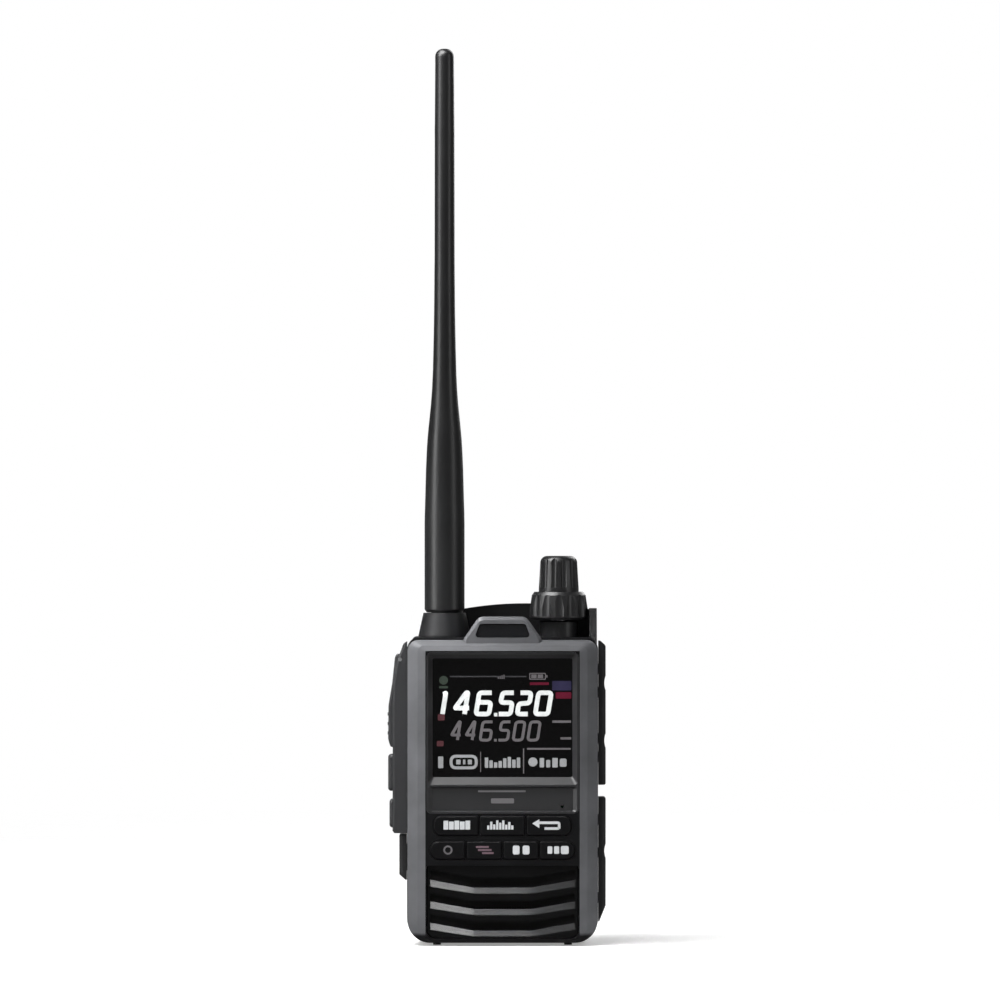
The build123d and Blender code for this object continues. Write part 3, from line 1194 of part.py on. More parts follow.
with BuildPart() as clip_arm:
    arm_front = CLIP_BACK_Y - 2.0
    # A long plate with a thumb tab above the pivot and a nose that closes on the pack.
    with BuildSketch(side_at(-6.9)):
        add(outline(
            [(arm_front, 80.5), (arm_front, 20.0), (34.4, 16.4), (33.0, 14.6), (33.0, 13.2), (34.6, 13.2),
             (CLIP_BACK_Y, 18.4), (CLIP_BACK_Y, 80.5)],
            [0.6, 1.5, 0.6, 0.3, 0.4, 1.0, 4.0, 0.8],
        ))
        with Locations((CLIP_PIVOT_Y, CLIP_PIVOT_Z)):
            Circle(1.9)
        with Locations(((CLIP_PIVOT_Y + arm_front) / 2 + 0.3, CLIP_PIVOT_Z)):
            Rectangle(2.0, 3.8)
    extrude(amount=13.8)
    with BuildSketch(side_at(-7.0)):
        with Locations((CLIP_PIVOT_Y, CLIP_PIVOT_Z)):
            Circle(1.06)
    extrude(amount=14.0, mode=Mode.SUBTRACT)
    # Gap between the two knuckles for the spring.
    with BuildSketch(side_at(-2.6)):
        with Locations((CLIP_PIVOT_Y - 0.3, CLIP_PIVOT_Z)):
            Rectangle(4.6, 5.2)
    extrude(amount=5.2, mode=Mode.SUBTRACT)
    # Grip bars on the thumb tab, and a long stiffening rib down the plate.
    with BuildSketch(front_at(CLIP_BACK_Y - 0.1)):
        with Locations((0, 72.5), (0, 75.0), (0, 77.5)):
            SlotOverall(10.0, 1.0)
    extrude(amount=-0.4)
    with BuildSketch(front_at(CLIP_BACK_Y - 0.4)):
        with Locations((0, 42.0)):
            SlotOverall(36.0, 6.0, rotation=90)
    extrude(amount=-1.0, mode=Mode.SUBTRACT)
keep(clip_arm, "clip_arm")

with BuildPart() as clip_spring:
    # The coil, with one leg on the bracket and one on the arm.
    with BuildSketch(side_at(-2.2)):
        with Locations((CLIP_PIVOT_Y, CLIP_PIVOT_Z)):
            Circle(1.75)
            Circle(1.15, mode=Mode.SUBTRACT)
    extrude(amount=4.4)
    with BuildSketch(side_at(-2.2)):
        add(outline([(34.35, 71.4), (34.9, 71.4), (35.0, 68.0), (34.5, 68.0)], 0.1))
    extrude(amount=0.5)
    with BuildSketch(side_at(1.7)):
        add(outline([(37.0, 70.9), (37.5, 70.9), (37.9, 68.0), (37.4, 68.0)], 0.1))
    extrude(amount=0.5)
keep(clip_spring, "clip_spring")
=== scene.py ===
import math

import bmesh
import bpy
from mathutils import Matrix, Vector


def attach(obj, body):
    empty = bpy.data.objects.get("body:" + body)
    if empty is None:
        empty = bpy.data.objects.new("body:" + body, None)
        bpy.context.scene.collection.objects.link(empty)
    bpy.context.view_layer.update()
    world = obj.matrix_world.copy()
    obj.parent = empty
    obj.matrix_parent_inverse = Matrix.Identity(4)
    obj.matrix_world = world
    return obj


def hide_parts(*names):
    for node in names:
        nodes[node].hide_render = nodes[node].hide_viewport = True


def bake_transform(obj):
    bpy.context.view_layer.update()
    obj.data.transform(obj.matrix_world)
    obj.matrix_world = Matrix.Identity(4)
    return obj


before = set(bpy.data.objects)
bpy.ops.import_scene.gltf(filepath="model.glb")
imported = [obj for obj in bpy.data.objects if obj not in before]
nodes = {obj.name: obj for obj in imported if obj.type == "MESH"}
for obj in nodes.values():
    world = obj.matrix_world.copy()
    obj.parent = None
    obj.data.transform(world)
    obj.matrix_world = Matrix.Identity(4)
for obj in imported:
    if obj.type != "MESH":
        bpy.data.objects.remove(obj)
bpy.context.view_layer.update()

# The CAD's drawing coordinates are millimetres about the body's mid plane.
SHIFT_X, SHIFT_Y = 1.7, -19.7

# The black panel in the front case, in metres: its half width, and its lower and upper ends.
PANEL_HALF, PANEL_LOW, PANEL_HIGH = 0.02262, 0.00219, 0.08662
# Painted shade: the case is black up to the first height and grey from the second, standing in for
# the shade on its downward-facing lower bevel.
SHADE_BLACK_BELOW, SHADE_GREY_ABOVE = 0.0030, 0.0040
# A noise texture's values mostly lie between these two.
NOISE_LOW, NOISE_HIGH = 0.3, 0.7


def mm(x, y, z):
    return Vector(((x + SHIFT_X) / 1000, (y + SHIFT_Y) / 1000, z / 1000))


# ---- Materials -------------------------------------------------------------------------
class Tree:
    """A material and short ways to add nodes to it."""

    def __init__(self, name):
        self.mat = bpy.data.materials.new(name)
        self.mat.use_nodes = True
        self.tree = self.mat.node_tree
        self.tree.nodes.clear()
        self.out = self.tree.nodes.new("ShaderNodeOutputMaterial")
        self.bsdf = self.tree.nodes.new("ShaderNodeBsdfPrincipled")
        self.link(self.bsdf.outputs["BSDF"], self.out.inputs["Surface"])
        self.coord = self.tree.nodes.new("ShaderNodeTexCoord").outputs["Object"]

    def link(self, a, b):
        self.tree.links.new(a, b)

    def node(self, kind, **values):
        made = self.tree.nodes.new(kind)
        for key, value in values.items():
            setattr(made, key, value)
        return made

    def math(self, operation, a, b=None):
        made = self.node("ShaderNodeMath", operation=operation)
        for socket, value in zip(made.inputs, (a, b)):
            if value is None:
                continue
            if isinstance(value, (int, float)):
                socket.default_value = value
            else:
                self.link(value, socket)
        return made.outputs[0]

    def noise(self, scale, detail=2.0, rough=0.5, stretch=None):
        made = self.node("ShaderNodeTexNoise")
        made.inputs["Scale"].default_value = scale
        made.inputs["Detail"].default_value = detail
        made.inputs["Roughness"].default_value = rough
        source = self.coord
        if stretch:
            mapping = self.node("ShaderNodeMapping")
            mapping.inputs["Scale"].default_value = stretch
            self.link(source, mapping.inputs["Vector"])
            source = mapping.outputs["Vector"]
        self.link(source, made.inputs["Vector"])
        return made.outputs["Fac"]

    def spread(self, fac, low, high):
        made = self.node("ShaderNodeMapRange")
        made.inputs["From Min"].default_value = NOISE_LOW
        made.inputs["From Max"].default_value = NOISE_HIGH
        made.inputs["To Min"].default_value = low
        made.inputs["To Max"].default_value = high
        self.link(fac, made.inputs["Value"])
        return made.outputs["Result"]

    def mix(self, fac, a, b):
        made = self.node("ShaderNodeMix", data_type="RGBA")
        self.link(fac, made.inputs["Factor"])
        for socket, value in ((made.inputs["A"], a), (made.inputs["B"], b)):
            if isinstance(value, (tuple, list)):
                socket.default_value = (*value, 1.0)
            else:
                self.link(value, socket)
        return made.outputs["Result"]

    def bump(self, height, strength, distance, after=None):
        made = self.node("ShaderNodeBump")
        made.inputs["Strength"].default_value = strength
        made.inputs["Distance"].default_value = distance
        self.link(height, made.inputs["Height"])
        if after:
            self.link(after, made.inputs["Normal"])
        return made.outputs["Normal"]

    def set(self, **values):
        names = {"rough": "Roughness", "metal": "Metallic", "spec": "Specular IOR Level",
                 "glow": "Emission Strength", "sheen": "Sheen Weight"}
        for key, value in values.items():
            self.bsdf.inputs[names[key]].default_value = value


def shade(color, k):
    return tuple(c * k for c in color)


def plastic(name, color, rough=0.45, spec=0.5, grain=1800, strength=0.25, vary=0.18, sheen=0.0):
    """Moulded plastic or rubber: fine spark grain, slow colour drift and uneven polish."""
    t = Tree(name)
    drift = t.spread(t.noise(60, 4, 0.6), 0.0, 1.0)
    shades = t.mix(drift, shade(color, 1 - vary), shade(color, 1 + vary))
    t.link(shades, t.bsdf.inputs["Base Color"])
    smear = t.noise(140, 5, 0.65, (1.0, 1.0, 0.35))
    t.link(t.spread(smear, rough - 0.02, rough + 0.05), t.bsdf.inputs["Roughness"])
    spark = t.bump(t.noise(grain, 2, 0.6), strength, 0.00006)
    t.link(t.bump(t.noise(120, 1), 0.05, 0.0001, spark), t.bsdf.inputs["Normal"])
    t.set(spec=spec)
    if sheen:
        t.set(sheen=sheen)
    return t.mat


def metal(name, color, rough=0.3, stretch=(1, 1, 12)):
    """Metal with a brushed grain, which runs across the most stretched axis."""
    t = Tree(name)
    brush = t.noise(900, 4, 0.7, stretch)
    tone = t.mix(t.spread(brush, 0.0, 1.0), shade(color, 0.8), color)
    t.link(tone, t.bsdf.inputs["Base Color"])
    t.link(t.spread(brush, rough - 0.08, rough + 0.12), t.bsdf.inputs["Roughness"])
    t.link(t.bump(brush, 0.2, 0.00003), t.bsdf.inputs["Normal"])
    t.set(metal=1.0)
    return t.mat


def lamp(name, color, glow):
    """Printed or lit marks: an even colour with a faint fine grain, a little emissive."""
    t = Tree(name)
    grain = t.spread(t.noise(2600, 1), 0.0, 1.0)
    t.link(t.mix(grain, shade(color, 0.88), color), t.bsdf.inputs["Base Color"])
    t.bsdf.inputs["Emission Color"].default_value = (*color, 1.0)
    t.set(glow=glow, rough=0.6, spec=0.2)
    return t.mat


def case_material():
    """Grey rim round a black inner panel, split where the inner bevel ends, and a black band of
    painted shade along the bottom.
    """
    t = Tree("case_grey_and_black")
    split = t.node("ShaderNodeSeparateXYZ")
    t.link(t.coord, split.inputs[0])
    x = t.math("ABSOLUTE", t.math("SUBTRACT", split.outputs["X"], SHIFT_X / 1000))
    z = split.outputs["Z"]
    black = t.math("LESS_THAN", x, PANEL_HALF)
    black = t.math("MULTIPLY", black, t.math("LESS_THAN", z, PANEL_HIGH))
    black = t.math("MULTIPLY", black, t.math("GREATER_THAN", z, PANEL_LOW))
    # Painted shade: the lowest 3 to 4 mm of the case turns black, standing in for the shade under
    # the lower bevel.
    foot = t.node("ShaderNodeMapRange")
    foot.inputs["From Min"].default_value = SHADE_BLACK_BELOW
    foot.inputs["From Max"].default_value = SHADE_GREY_ABOVE
    foot.inputs["To Min"].default_value = 1.0
    foot.inputs["To Max"].default_value = 0.0
    t.link(z, foot.inputs["Value"])
    black = t.math("MAXIMUM", black, foot.outputs["Result"])
    grey_low, grey_high = (0.068, 0.069, 0.073), (0.092, 0.093, 0.099)
    black_low, black_high = (0.003, 0.003, 0.0034), (0.005, 0.005, 0.0056)
    drift = t.spread(t.noise(70, 4, 0.6), 0.0, 1.0)
    grey = t.mix(drift, grey_low, grey_high)
    t.link(t.mix(black, grey, t.mix(drift, black_low, black_high)), t.bsdf.inputs["Base Color"])
    polish = t.noise(160, 5, 0.65, (1, 1, 0.3))
    t.link(t.spread(polish, 0.34, 0.44), t.bsdf.inputs["Roughness"])
    spark = t.bump(t.noise(2000, 2, 0.6), 0.22, 0.00005)
    t.link(t.bump(t.noise(260, 2), 0.1, 0.0001, spark), t.bsdf.inputs["Normal"])
    t.set(spec=0.14)
    return t.mat


def glass(name, rough, alpha):
    """A thin tinted window: dark, glossy and mostly clear."""
    t = Tree(name)
    t.bsdf.inputs["Base Color"].default_value = (0.0, 0.0, 0.0, 1.0)
    t.link(t.spread(t.noise(90, 3), rough, rough + 0.03), t.bsdf.inputs["Roughness"])
    t.link(t.spread(t.noise(400, 3), alpha - 0.02, alpha + 0.02), t.bsdf.inputs["Alpha"])
    t.set(spec=0.9)
    return t.mat


def weave(name, color):
    """Acoustic mesh: two crossed wave sets as bump."""
    t = Tree(name)
    t.bsdf.inputs["Base Color"].default_value = (*color, 1.0)
    bands = []
    for direction in ("X", "Z"):
        w = t.node("ShaderNodeTexWave", bands_direction=direction)
        w.inputs["Scale"].default_value = 420
        t.link(t.coord, w.inputs["Vector"])
        bands.append(w.outputs["Fac"])
    t.link(t.bump(t.math("MAXIMUM", *bands), 0.6, 0.0001), t.bsdf.inputs["Normal"])
    t.set(rough=0.9, spec=0.2)
    return t.mat


def board(name):
    """Circuit board: pads and tracks as a brick pattern in three greens."""
    t = Tree(name)
    tracks = t.node("ShaderNodeTexBrick")
    tracks.inputs["Scale"].default_value = 350
    tracks.inputs["Color1"].default_value = (0.01, 0.09, 0.03, 1)
    tracks.inputs["Color2"].default_value = (0.012, 0.12, 0.04, 1)
    tracks.inputs["Mortar"].default_value = (0.02, 0.17, 0.06, 1)
    t.link(t.coord, tracks.inputs["Vector"])
    t.link(tracks.outputs["Color"], t.bsdf.inputs["Base Color"])
    t.set(rough=0.35)
    return t.mat


CASE = case_material()
BLACK = plastic("black_case", (0.0065, 0.0065, 0.0072), 0.42, 0.3)
GRILLE = plastic("grille_black", (0.0014, 0.0014, 0.0016), 0.2, 0.27, 2600, 0.02)
BEZEL = plastic("bezel_black", (0.015, 0.015, 0.016), 0.36, 0.5, 2600, 0.08, 0.1)
KEYS = plastic("key_black", (0.003, 0.003, 0.0034), 0.4, 0.12, 2400, 0.15, 0.12)
RUBBER = plastic("rubber_black", (0.006, 0.006, 0.0066), 0.36, 0.7, 1500, 0.25, 0.2, 0.0)
SIDE_RUBBER = plastic("side_rubber", (0.016, 0.0162, 0.0175), 0.5, 0.45, 1500, 0.35, 0.2, 0.02)
SHEATH = plastic("antenna_rubber", (0.004, 0.0041, 0.0045), 0.36, 0.65, 1200, 0.12, 0.2)
LENS = plastic("smoked_lens", (0.006, 0.0062, 0.007), 0.12, 0.5, 900, 0.04, 0.1)
SCREEN = plastic("screen_black", (0.0012, 0.0012, 0.0014), 0.3, 0.1, 900, 0.02, 0.1)
SEAL = plastic("seal_grey", (0.05, 0.05, 0.052), 0.6, 0.3)
CLOTH = weave("speaker_cloth", (0.004, 0.004, 0.004))
BOARD = board("board_green")
STEEL = metal("plated_steel", (0.62, 0.62, 0.63), 0.3)
BRASS = metal("plated_brass", (0.72, 0.58, 0.3), 0.3)
GOLD = metal("gold_contact", (0.85, 0.62, 0.25), 0.25)
ALLOY = metal("cast_alloy", (0.5, 0.51, 0.52), 0.5, (1, 1, 1))
CELL = plastic("cell_sleeve", (0.03, 0.09, 0.2), 0.3, 0.5)
ROD = plastic("drawn_rod", (0.5, 0.42, 0.25), 0.4, 0.5)
WINDOW = glass("display_window", 0.08, 0.3)
LABEL = plastic("rating_label", (0.22, 0.225, 0.23), 0.35, 0.5, 3000, 0.05, 0.05)
PRINT = plastic("label_print", (0.02, 0.02, 0.022), 0.5, 0.3, 3000, 0.05, 0.05)
WHITE = lamp("mark_white", (0.9, 0.93, 0.92), 1.25)
PALE = lamp("mark_pale", (0.5, 0.51, 0.52), 0.8)
GREY = lamp("mark_grey", (0.22, 0.205, 0.215), 0.7)
DIM = lamp("mark_dim", (0.08, 0.08, 0.085), 0.6)
PINK = lamp("mark_pink", (0.16, 0.055, 0.065), 0.6)
RED = lamp("mark_red", (0.16, 0.008, 0.03), 0.9)
BLUE = lamp("mark_blue", (0.04, 0.035, 0.09), 0.8)
GREEN = lamp("mark_green", (0.06, 0.08, 0.062), 0.8)
SILVER = metal("badge_silver", (0.3, 0.29, 0.3), 0.45, (12, 1, 1))
LEGEND = lamp("legend_white", (0.42, 0.43, 0.44), 0.12)
LEGEND_DIM = lamp("legend_dim", (0.1, 0.095, 0.1), 0.03)
LEGEND_RED = lamp("legend_red", (0.11, 0.07, 0.085), 0.03)

LOOKS = {
    CASE: "front_case",
    BLACK: "rear_case battery_tray battery_cover clip_bracket clip_arm",
    GRILLE: "speaker_grille",
    BEZEL: "display_bezel encoder_nut headset_jack power_jack battery_latch speaker_cone",
    KEYS: "band_key scope_key back_key function_key menu_key receiver_key mode_key",
    RUBBER: "dial_knob volume_knob upper_jack_cover lower_jack_cover card_cover",
    SIDE_RUBBER: "side_key_bezel ptt_lever monitor_key lock_key",
    SHEATH: "antenna_sheath",
    LENS: "status_lens",
    SCREEN: "lcd_module",
    SEAL: "main_gasket keypad_mat side_switches",
    CLOTH: "speaker_cloth",
    BOARD: "control_board main_board",
    STEEL: "case_screws strap_pin shield_can speaker_frame microphone ptt_pin dial_shaft"
           " volume_shaft clip_screws clip_pin clip_spring vibration_motor",
    BRASS: "antenna_jack antenna_ferrule",
    GOLD: "battery_contacts antenna_contact",
    ALLOY: "chassis encoder motor_weight",
    CELL: "battery_cells",
    ROD: "antenna_core",
    WINDOW: "display_window",
}
for material, names in LOOKS.items():
    for name in names.split():
        mesh = nodes[name].data
        mesh.materials.clear()
        mesh.materials.append(material)


# ---- Flat marks ------------------------------------------------------------------------
def rounded(points, corner, closed):
    """The path with each corner turned into a short arc."""
    made = []
    count = len(points)
    for i, p in enumerate(points):
        p = Vector(p)
        if corner <= 0 or (not closed and i in (0, count - 1)):
            made.append(p)
            continue
        a, b = Vector(points[i - 1]), Vector(points[(i + 1) % count])
        cut = min(corner, (a - p).length / 2, (b - p).length / 2)
        start, end = p + (a - p).normalized() * cut, p + (b - p).normalized() * cut
        for k in range(6):
            s = k / 5
            made.append(start * (1 - s) ** 2 + p * 2 * s * (1 - s) + end * s ** 2)
    return made


def ribbon(points, width, corner=0.0, closed=False):
    """Quads along a path, of one width, as (left, left, right, right) corners."""
    path = rounded(points, corner, closed)
    count = len(path)
    left, right = [], []
    for i, p in enumerate(path):
        a = path[i - 1] if closed or i else p
        b = path[(i + 1) % count] if closed or i < count - 1 else p
        before, after = (p - a), (b - p)
        before = before.normalized() if before.length > 1e-9 else after.normalized()
        after = after.normalized() if after.length > 1e-9 else before
        along = (before + after).normalized()
        normal = Vector((-along.y, along.x))
        reach = width / 2 / max(0.5, normal.dot(Vector((-after.y, after.x))))
        left.append(p + normal * reach)
        right.append(p - normal * reach)
    last = count if closed else count - 1
    return [[right[i], right[(i + 1) % count], left[(i + 1) % count], left[i]] for i in range(last)]


def plate(x_low, x_high, z_low, z_high, corner=0.0):
    """A rectangle with round corners, as one polygon."""
    centres = ((x_high - corner, z_low + corner, -90), (x_high - corner, z_high - corner, 0),
               (x_low + corner, z_high - corner, 90), (x_low + corner, z_low + corner, 180))
    made = []
    for x, z, start in centres:
        for k in range(6 if corner else 1):
            a = math.radians(start + 18 * k)
            made.append(Vector((x + corner * math.cos(a), z + corner * math.sin(a))))
    return [made]


def disc(x, z, r, count=20):
    turns = [2 * math.pi * k / count for k in range(count)]
    return [[Vector((x + r * math.cos(a), z + r * math.sin(a))) for a in turns]]


def finished(name, bm, material):
    """The object made from a bmesh, which it frees."""
    bmesh.ops.recalc_face_normals(bm, faces=bm.faces)
    mesh = bpy.data.meshes.new(name)
    bm.to_mesh(mesh)
    bm.free()
    mesh.materials.append(material)
    made = bpy.data.objects.new(name, mesh)
    bpy.context.scene.collection.objects.link(made)
    return made


def marks(name, faces, y, material, body, thick=0.02, back=False):
    """Thin printed shapes that lie on a plane facing the front, or the back."""
    bm = bmesh.new()
    for face in faces:
        corners = [bm.verts.new(mm(p.x, y, p.y)) for p in face]
        bm.faces.new(corners if not back else corners[::-1])
    bmesh.ops.remove_doubles(bm, verts=bm.verts, dist=1e-7)
    base = list(bm.faces)
    grown = bmesh.ops.extrude_face_region(bm, geom=base)
    step = Vector((0, (-thick if not back else thick) / 1000, 0))
    raised = [v for v in grown["geom"] if isinstance(v, bmesh.types.BMVert)]
    bmesh.ops.translate(bm, vec=step, verts=raised)
    piece = finished(name, bm, material)
    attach(piece, body)
    return piece


# Digits are strokes in a unit box: a path, and whether it closes.
DIGITS = {
    "0": [([(0, 0), (1, 0), (1, 1), (0, 1)], True)],
    "1": [([(0.15, 0.92), (0.55, 1), (0.55, 0)], False)],
    "2": [([(0, 1), (1, 1), (1, 0.52), (0, 0.48), (0, 0), (1, 0)], False)],
    "4": [([(1, 0.28), (0, 0.28), (0.62, 1), (0.74, 1), (0.74, 0)], False)],
    "5": [([(1, 1), (0.05, 1), (0, 0.54), (1, 0.54), (1, 0), (0, 0)], False)],
    "6": [([(0.95, 1), (0, 1), (0, 0), (1, 0), (1, 0.55), (0, 0.55)], False)],
}


def figure(text, places, z_low, z_high, stroke, slant=0.16):
    """Slanted digits, each in its own place between two x values."""
    faces = []
    for char, (x_low, x_high) in zip(text, places):
        if char == ".":
            faces += plate(x_low, x_high, z_low, z_low + (x_high - x_low), 0.1)
            continue
        half = stroke / 2
        for path, closed in DIGITS[char]:
            points = []
            lean = slant * (z_high - z_low)
            for u, v in path:
                z = z_low + half + v * (z_high - z_low - stroke)
                x = x_low + half + u * (x_high - x_low - stroke - lean) + slant * (z - z_low)
                points.append((x, z))
            faces += ribbon(points, stroke, 0.9 if char != "4" else 0.35, closed)
    return faces


BODY = "radio_body"
SCREEN_Y = 2.745  # just in front of the display panel, in millimetres


def on_screen(name, faces, material):
    marks("screen_" + name, faces, SCREEN_Y, material, BODY)


# Each digit's place, from its left to its right in millimetres.
BIG = (
    (-19.2, -15.2), (-15.0, -8.3), (-8.6, -2.2), (-2.5, -1.5),
    (-1.9, 4.1), (3.5, 9.2), (8.8, 15.1),
)
on_screen("main_number", figure("146.520", BIG, 67.4, 75.0, 1.35), WHITE)
SMALL = (
    (-15.7, -11.2), (-11.4, -6.9), (-7.1, -2.3), (-2.5, -1.7),
    (-1.7, 2.8), (2.6, 7.1), (6.9, 11.6),
)
on_screen("second_number", figure("446.500", SMALL, 60.0, 66.2, 0.85), GREY)

lines = plate(14.6, 20.1, 65.5, 66.2, 0.1) + plate(7.2, 20.0, 57.6, 58.15, 0.1)
lines += plate(17.0, 20.2, 60.6, 61.3, 0.2)
lines += plate(6.0, 6.35, 50.6, 58.0) + plate(-6.55, -6.3, 51.0, 57.0)
on_screen("lines", lines, GREY)

on_screen("status_line", plate(-15.5, 7.0, 78.9, 79.3, 0.1), DIM)
status = []
for k in range(4):
    status += plate(-1.4 + 0.55 * k, -1.05 + 0.55 * k, 78.4, 79.0 + 0.22 * k, 0.05)
status += ribbon([(8.0, 78.3), (12.6, 78.3), (12.6, 80.0), (8.0, 80.0)], 0.3, 0.2, True)
status += plate(8.4, 10.0, 78.6, 79.7) + plate(10.3, 11.9, 78.6, 79.7)
status += plate(12.8, 13.2, 78.8, 79.5)
on_screen("status_marks", status, GREY)
on_screen("green_mark", disc(-17.3, 78.0, 1.3) + plate(-18.6, -16.0, 75.6, 76.3, 0.2), GREEN)
on_screen("blue_field", plate(14.6, 20.2, 75.0, 77.8, 0.3), BLUE)
reds = plate(15.6, 20.2, 72.6, 74.5, 0.3) + plate(8.0, 13.6, 76.6, 77.4, 0.2)
on_screen("red_field", reds, RED)
pinks = plate(-19.0, -17.0, 66.2, 68.0, 0.3) + plate(-19.3, -17.3, 58.6, 60.2, 0.3)
on_screen("side_marks", pinks, PINK)

# Three fields at the foot of the screen: a flag and a pill, a level bar, and a row of blocks.
foot = plate(-18.9, -17.4, 52.2, 55.6, 0.2)
foot += ribbon([(-15.1, 52.3), (-7.7, 52.3), (-7.7, 55.7), (-15.1, 55.7)], 0.85, 1.5, True)
foot += plate(-13.6, -12.3, 53.3, 54.7, 0.2) + plate(-11.6, -10.9, 53.3, 54.7, 0.1)
foot += plate(-10.2, -9.0, 53.3, 54.7, 0.2)
for k, tall in enumerate((3.0, 2.2, 1.6, 2.0, 2.8, 3.2, 2.4, 3.0)):
    foot += plate(-5.2 + 1.34 * k, -4.2 + 1.34 * k, 52.3, 52.3 + tall, 0.15)
foot += disc(8.9, 54.0, 1.35) + plate(10.9, 12.2, 52.4, 55.2, 0.3)
foot += plate(12.8, 14.0, 52.4, 54.6, 0.3)
foot += plate(14.6, 16.2, 52.4, 55.2, 0.3) + plate(16.8, 18.8, 52.6, 55.0, 0.5)
on_screen("foot_marks", foot, PALE)

# ---- Key legends: plain signs ----------------------------------------------------------
KEY_Y = -0.49  # just under the keys' tops, so that the print stands 0.01 mm proud


def bars_sign(x, z):
    made = []
    for k in range(5):
        made += plate(x - 3.9 + 1.6 * k, x - 2.5 + 1.6 * k, z - 1.3, z + 1.3 - 0.25 * (k % 2), 0.15)
    return made


def wave_sign(x, z):
    made = []
    for k, tall in enumerate((1.2, 2.3, 1.5, 2.7, 2.0, 2.7, 1.4, 2.2, 1.2)):
        made += plate(x - 3.9 + 0.88 * k, x - 3.25 + 0.88 * k, z - 1.3, z - 1.3 + tall, 0.1)
    return made


def back_sign(x, z):
    made = ribbon([(x + 3.8, z - 1.1), (x + 3.8, z + 0.7), (x - 2.2, z + 0.7)], 0.75, 0.5)
    made += ribbon([(x + 3.8, z - 1.0), (x - 0.5, z - 1.0)], 0.75)
    tip = ((x - 2.0, z - 0.9), (x - 2.0, z + 1.7), (x - 4.1, z + 0.5))
    return made + [[Vector(corner) for corner in tip]]


def ring_sign(x, z):
    turns = [k * math.pi / 10 for k in range(20)]
    return ribbon([(x + 1.1 * math.cos(a), z + 1.1 * math.sin(a)) for a in turns], 0.5, 0, True)


def list_sign(x, z):
    made = plate(x - 2.4, x + 1.4, z + 0.6, z + 1.2, 0.2)
    made += plate(x - 1.8, x + 2.2, z - 0.3, z + 0.3, 0.2)
    return made + plate(x - 0.6, x + 2.8, z - 1.2, z - 0.6, 0.2)


def pair_sign(x, z):
    made = plate(x - 2.4, x - 0.4, z - 1.3, z + 1.3, 0.5)
    return made + plate(x + 0.5, x + 2.5, z - 1.3, z + 1.3, 0.5)


def mode_sign(x, z):
    made = plate(x - 3.1, x - 1.7, z - 1.1, z + 1.1, 0.3)
    made += plate(x - 1.2, x + 0.3, z - 1.1, z + 1.1, 0.3)
    return made + plate(x + 0.8, x + 3.1, z - 1.2, z + 1.2, 0.5)


legends = (
    ("band_key", bars_sign, -13.4, 35.6, LEGEND),
    ("scope_key", wave_sign, -0.6, 35.6, LEGEND),
    ("back_key", back_sign, 12.8, 35.6, LEGEND),
    ("function_key", ring_sign, -16.0, 28.3, LEGEND_DIM),
    ("menu_key", list_sign, -5.4, 28.3, LEGEND_RED),
    ("receiver_key", pair_sign, 5.4, 28.3, LEGEND),
    ("mode_key", mode_sign, 16.3, 28.3, LEGEND),
)
for key, sign, x, z, material in legends:
    marks(key + "_legend", sign(x, z), KEY_Y, material, key + "_cap")

# A plain raised badge stands on the field under the screen, with a hairline above it.
FIELD_Y = 0.96
hairline, badge = plate(-7.2, 6.8, 45.2, 45.75, 0.15), plate(-3.4, 3.4, 41.9, 43.4, 0.35)
marks("name_plate_line", hairline, FIELD_Y, SILVER, BODY, 0.05)
marks("name_plate_badge", badge, FIELD_Y, SILVER, BODY, 0.12)

# ---- Pieces on the pack, and the seal between it and the radio -------------------------
PACK = "battery_pack"
LABEL_Y, PRINT_Y = 32.28, 32.37  # the label's inner face, and its print's
label = plate(-18.7, 18.7, 20.3, 47.7, 1.3)
marks("rating_label", label, LABEL_Y, LABEL, PACK, 0.1, True)
rows = []
for right, low, high in (
    (4.0, 43.4, 44.8), (9.0, 40.4, 41.3), (12.5, 38.0, 38.9), (6.0, 35.6, 36.5), (10.0, 33.2, 34.1),
):
    rows += plate(-16.5, right, low, high, 0.1)
for k in range(26):
    rows += plate(-16.5 + 0.85 * k, -16.5 + 0.85 * k + (0.3, 0.55, 0.4)[k % 3], 23.0, 29.5)
marks("rating_label_print", rows, PRINT_Y, PRINT, PACK, 0.02, True)
pads = []
for x in (-5.1, -1.7, 1.7, 5.1):
    pads += plate(x - 1.0, x + 1.0, 17.9, 22.1, 0.3)
marks("pack_terminals", pads, 22.3, GOLD, PACK, 0.7)

# A soft strip on the radio's back fills the 0.2 mm joint to the pack.
SEAL_Y = 20.49
strip = ribbon([(-25.4, 5.6), (25.4, 5.6), (25.4, 83.0), (-25.4, 83.0)], 1.1, 1.5, True)
marks("pack_seal", strip, SEAL_Y, SEAL, BODY, 0.16, True)


# ---- The belt clip's torsion spring ----------------------------------------------------
def tube(name, points, radius, material, sides=10):
    """A round wire along a path, closed at both ends."""
    points = [Vector(p) for p in points]
    bm = bmesh.new()
    rings = []
    side = Vector((1, 0, 0))
    turns = [2 * math.pi * k / sides for k in range(sides)]
    for i, p in enumerate(points):
        along = (points[min(i + 1, len(points) - 1)] - points[max(i - 1, 0)]).normalized()
        side = (side - along * side.dot(along)).normalized()
        other = along.cross(side)
        ring = [p + (side * math.cos(a) + other * math.sin(a)) * radius for a in turns]
        rings.append([bm.verts.new(mm(*corner)) for corner in ring])
    for low, high in zip(rings, rings[1:]):
        for k in range(sides):
            bm.faces.new((low[k], low[(k + 1) % sides], high[(k + 1) % sides], high[k]))
    bm.faces.new(rings[0][::-1])
    bm.faces.new(rings[-1])
    made = finished(name, bm, material)
    made.data.shade_smooth()
    return made


PIVOT_Y, PIVOT_Z, COIL_R = 36.2, 68.0, 1.45
COIL_HALF, WIRE_R = 2.05, 0.24
STEP, STEPS = 15, 156  # degrees for each point, and how many of them: six and a half turns
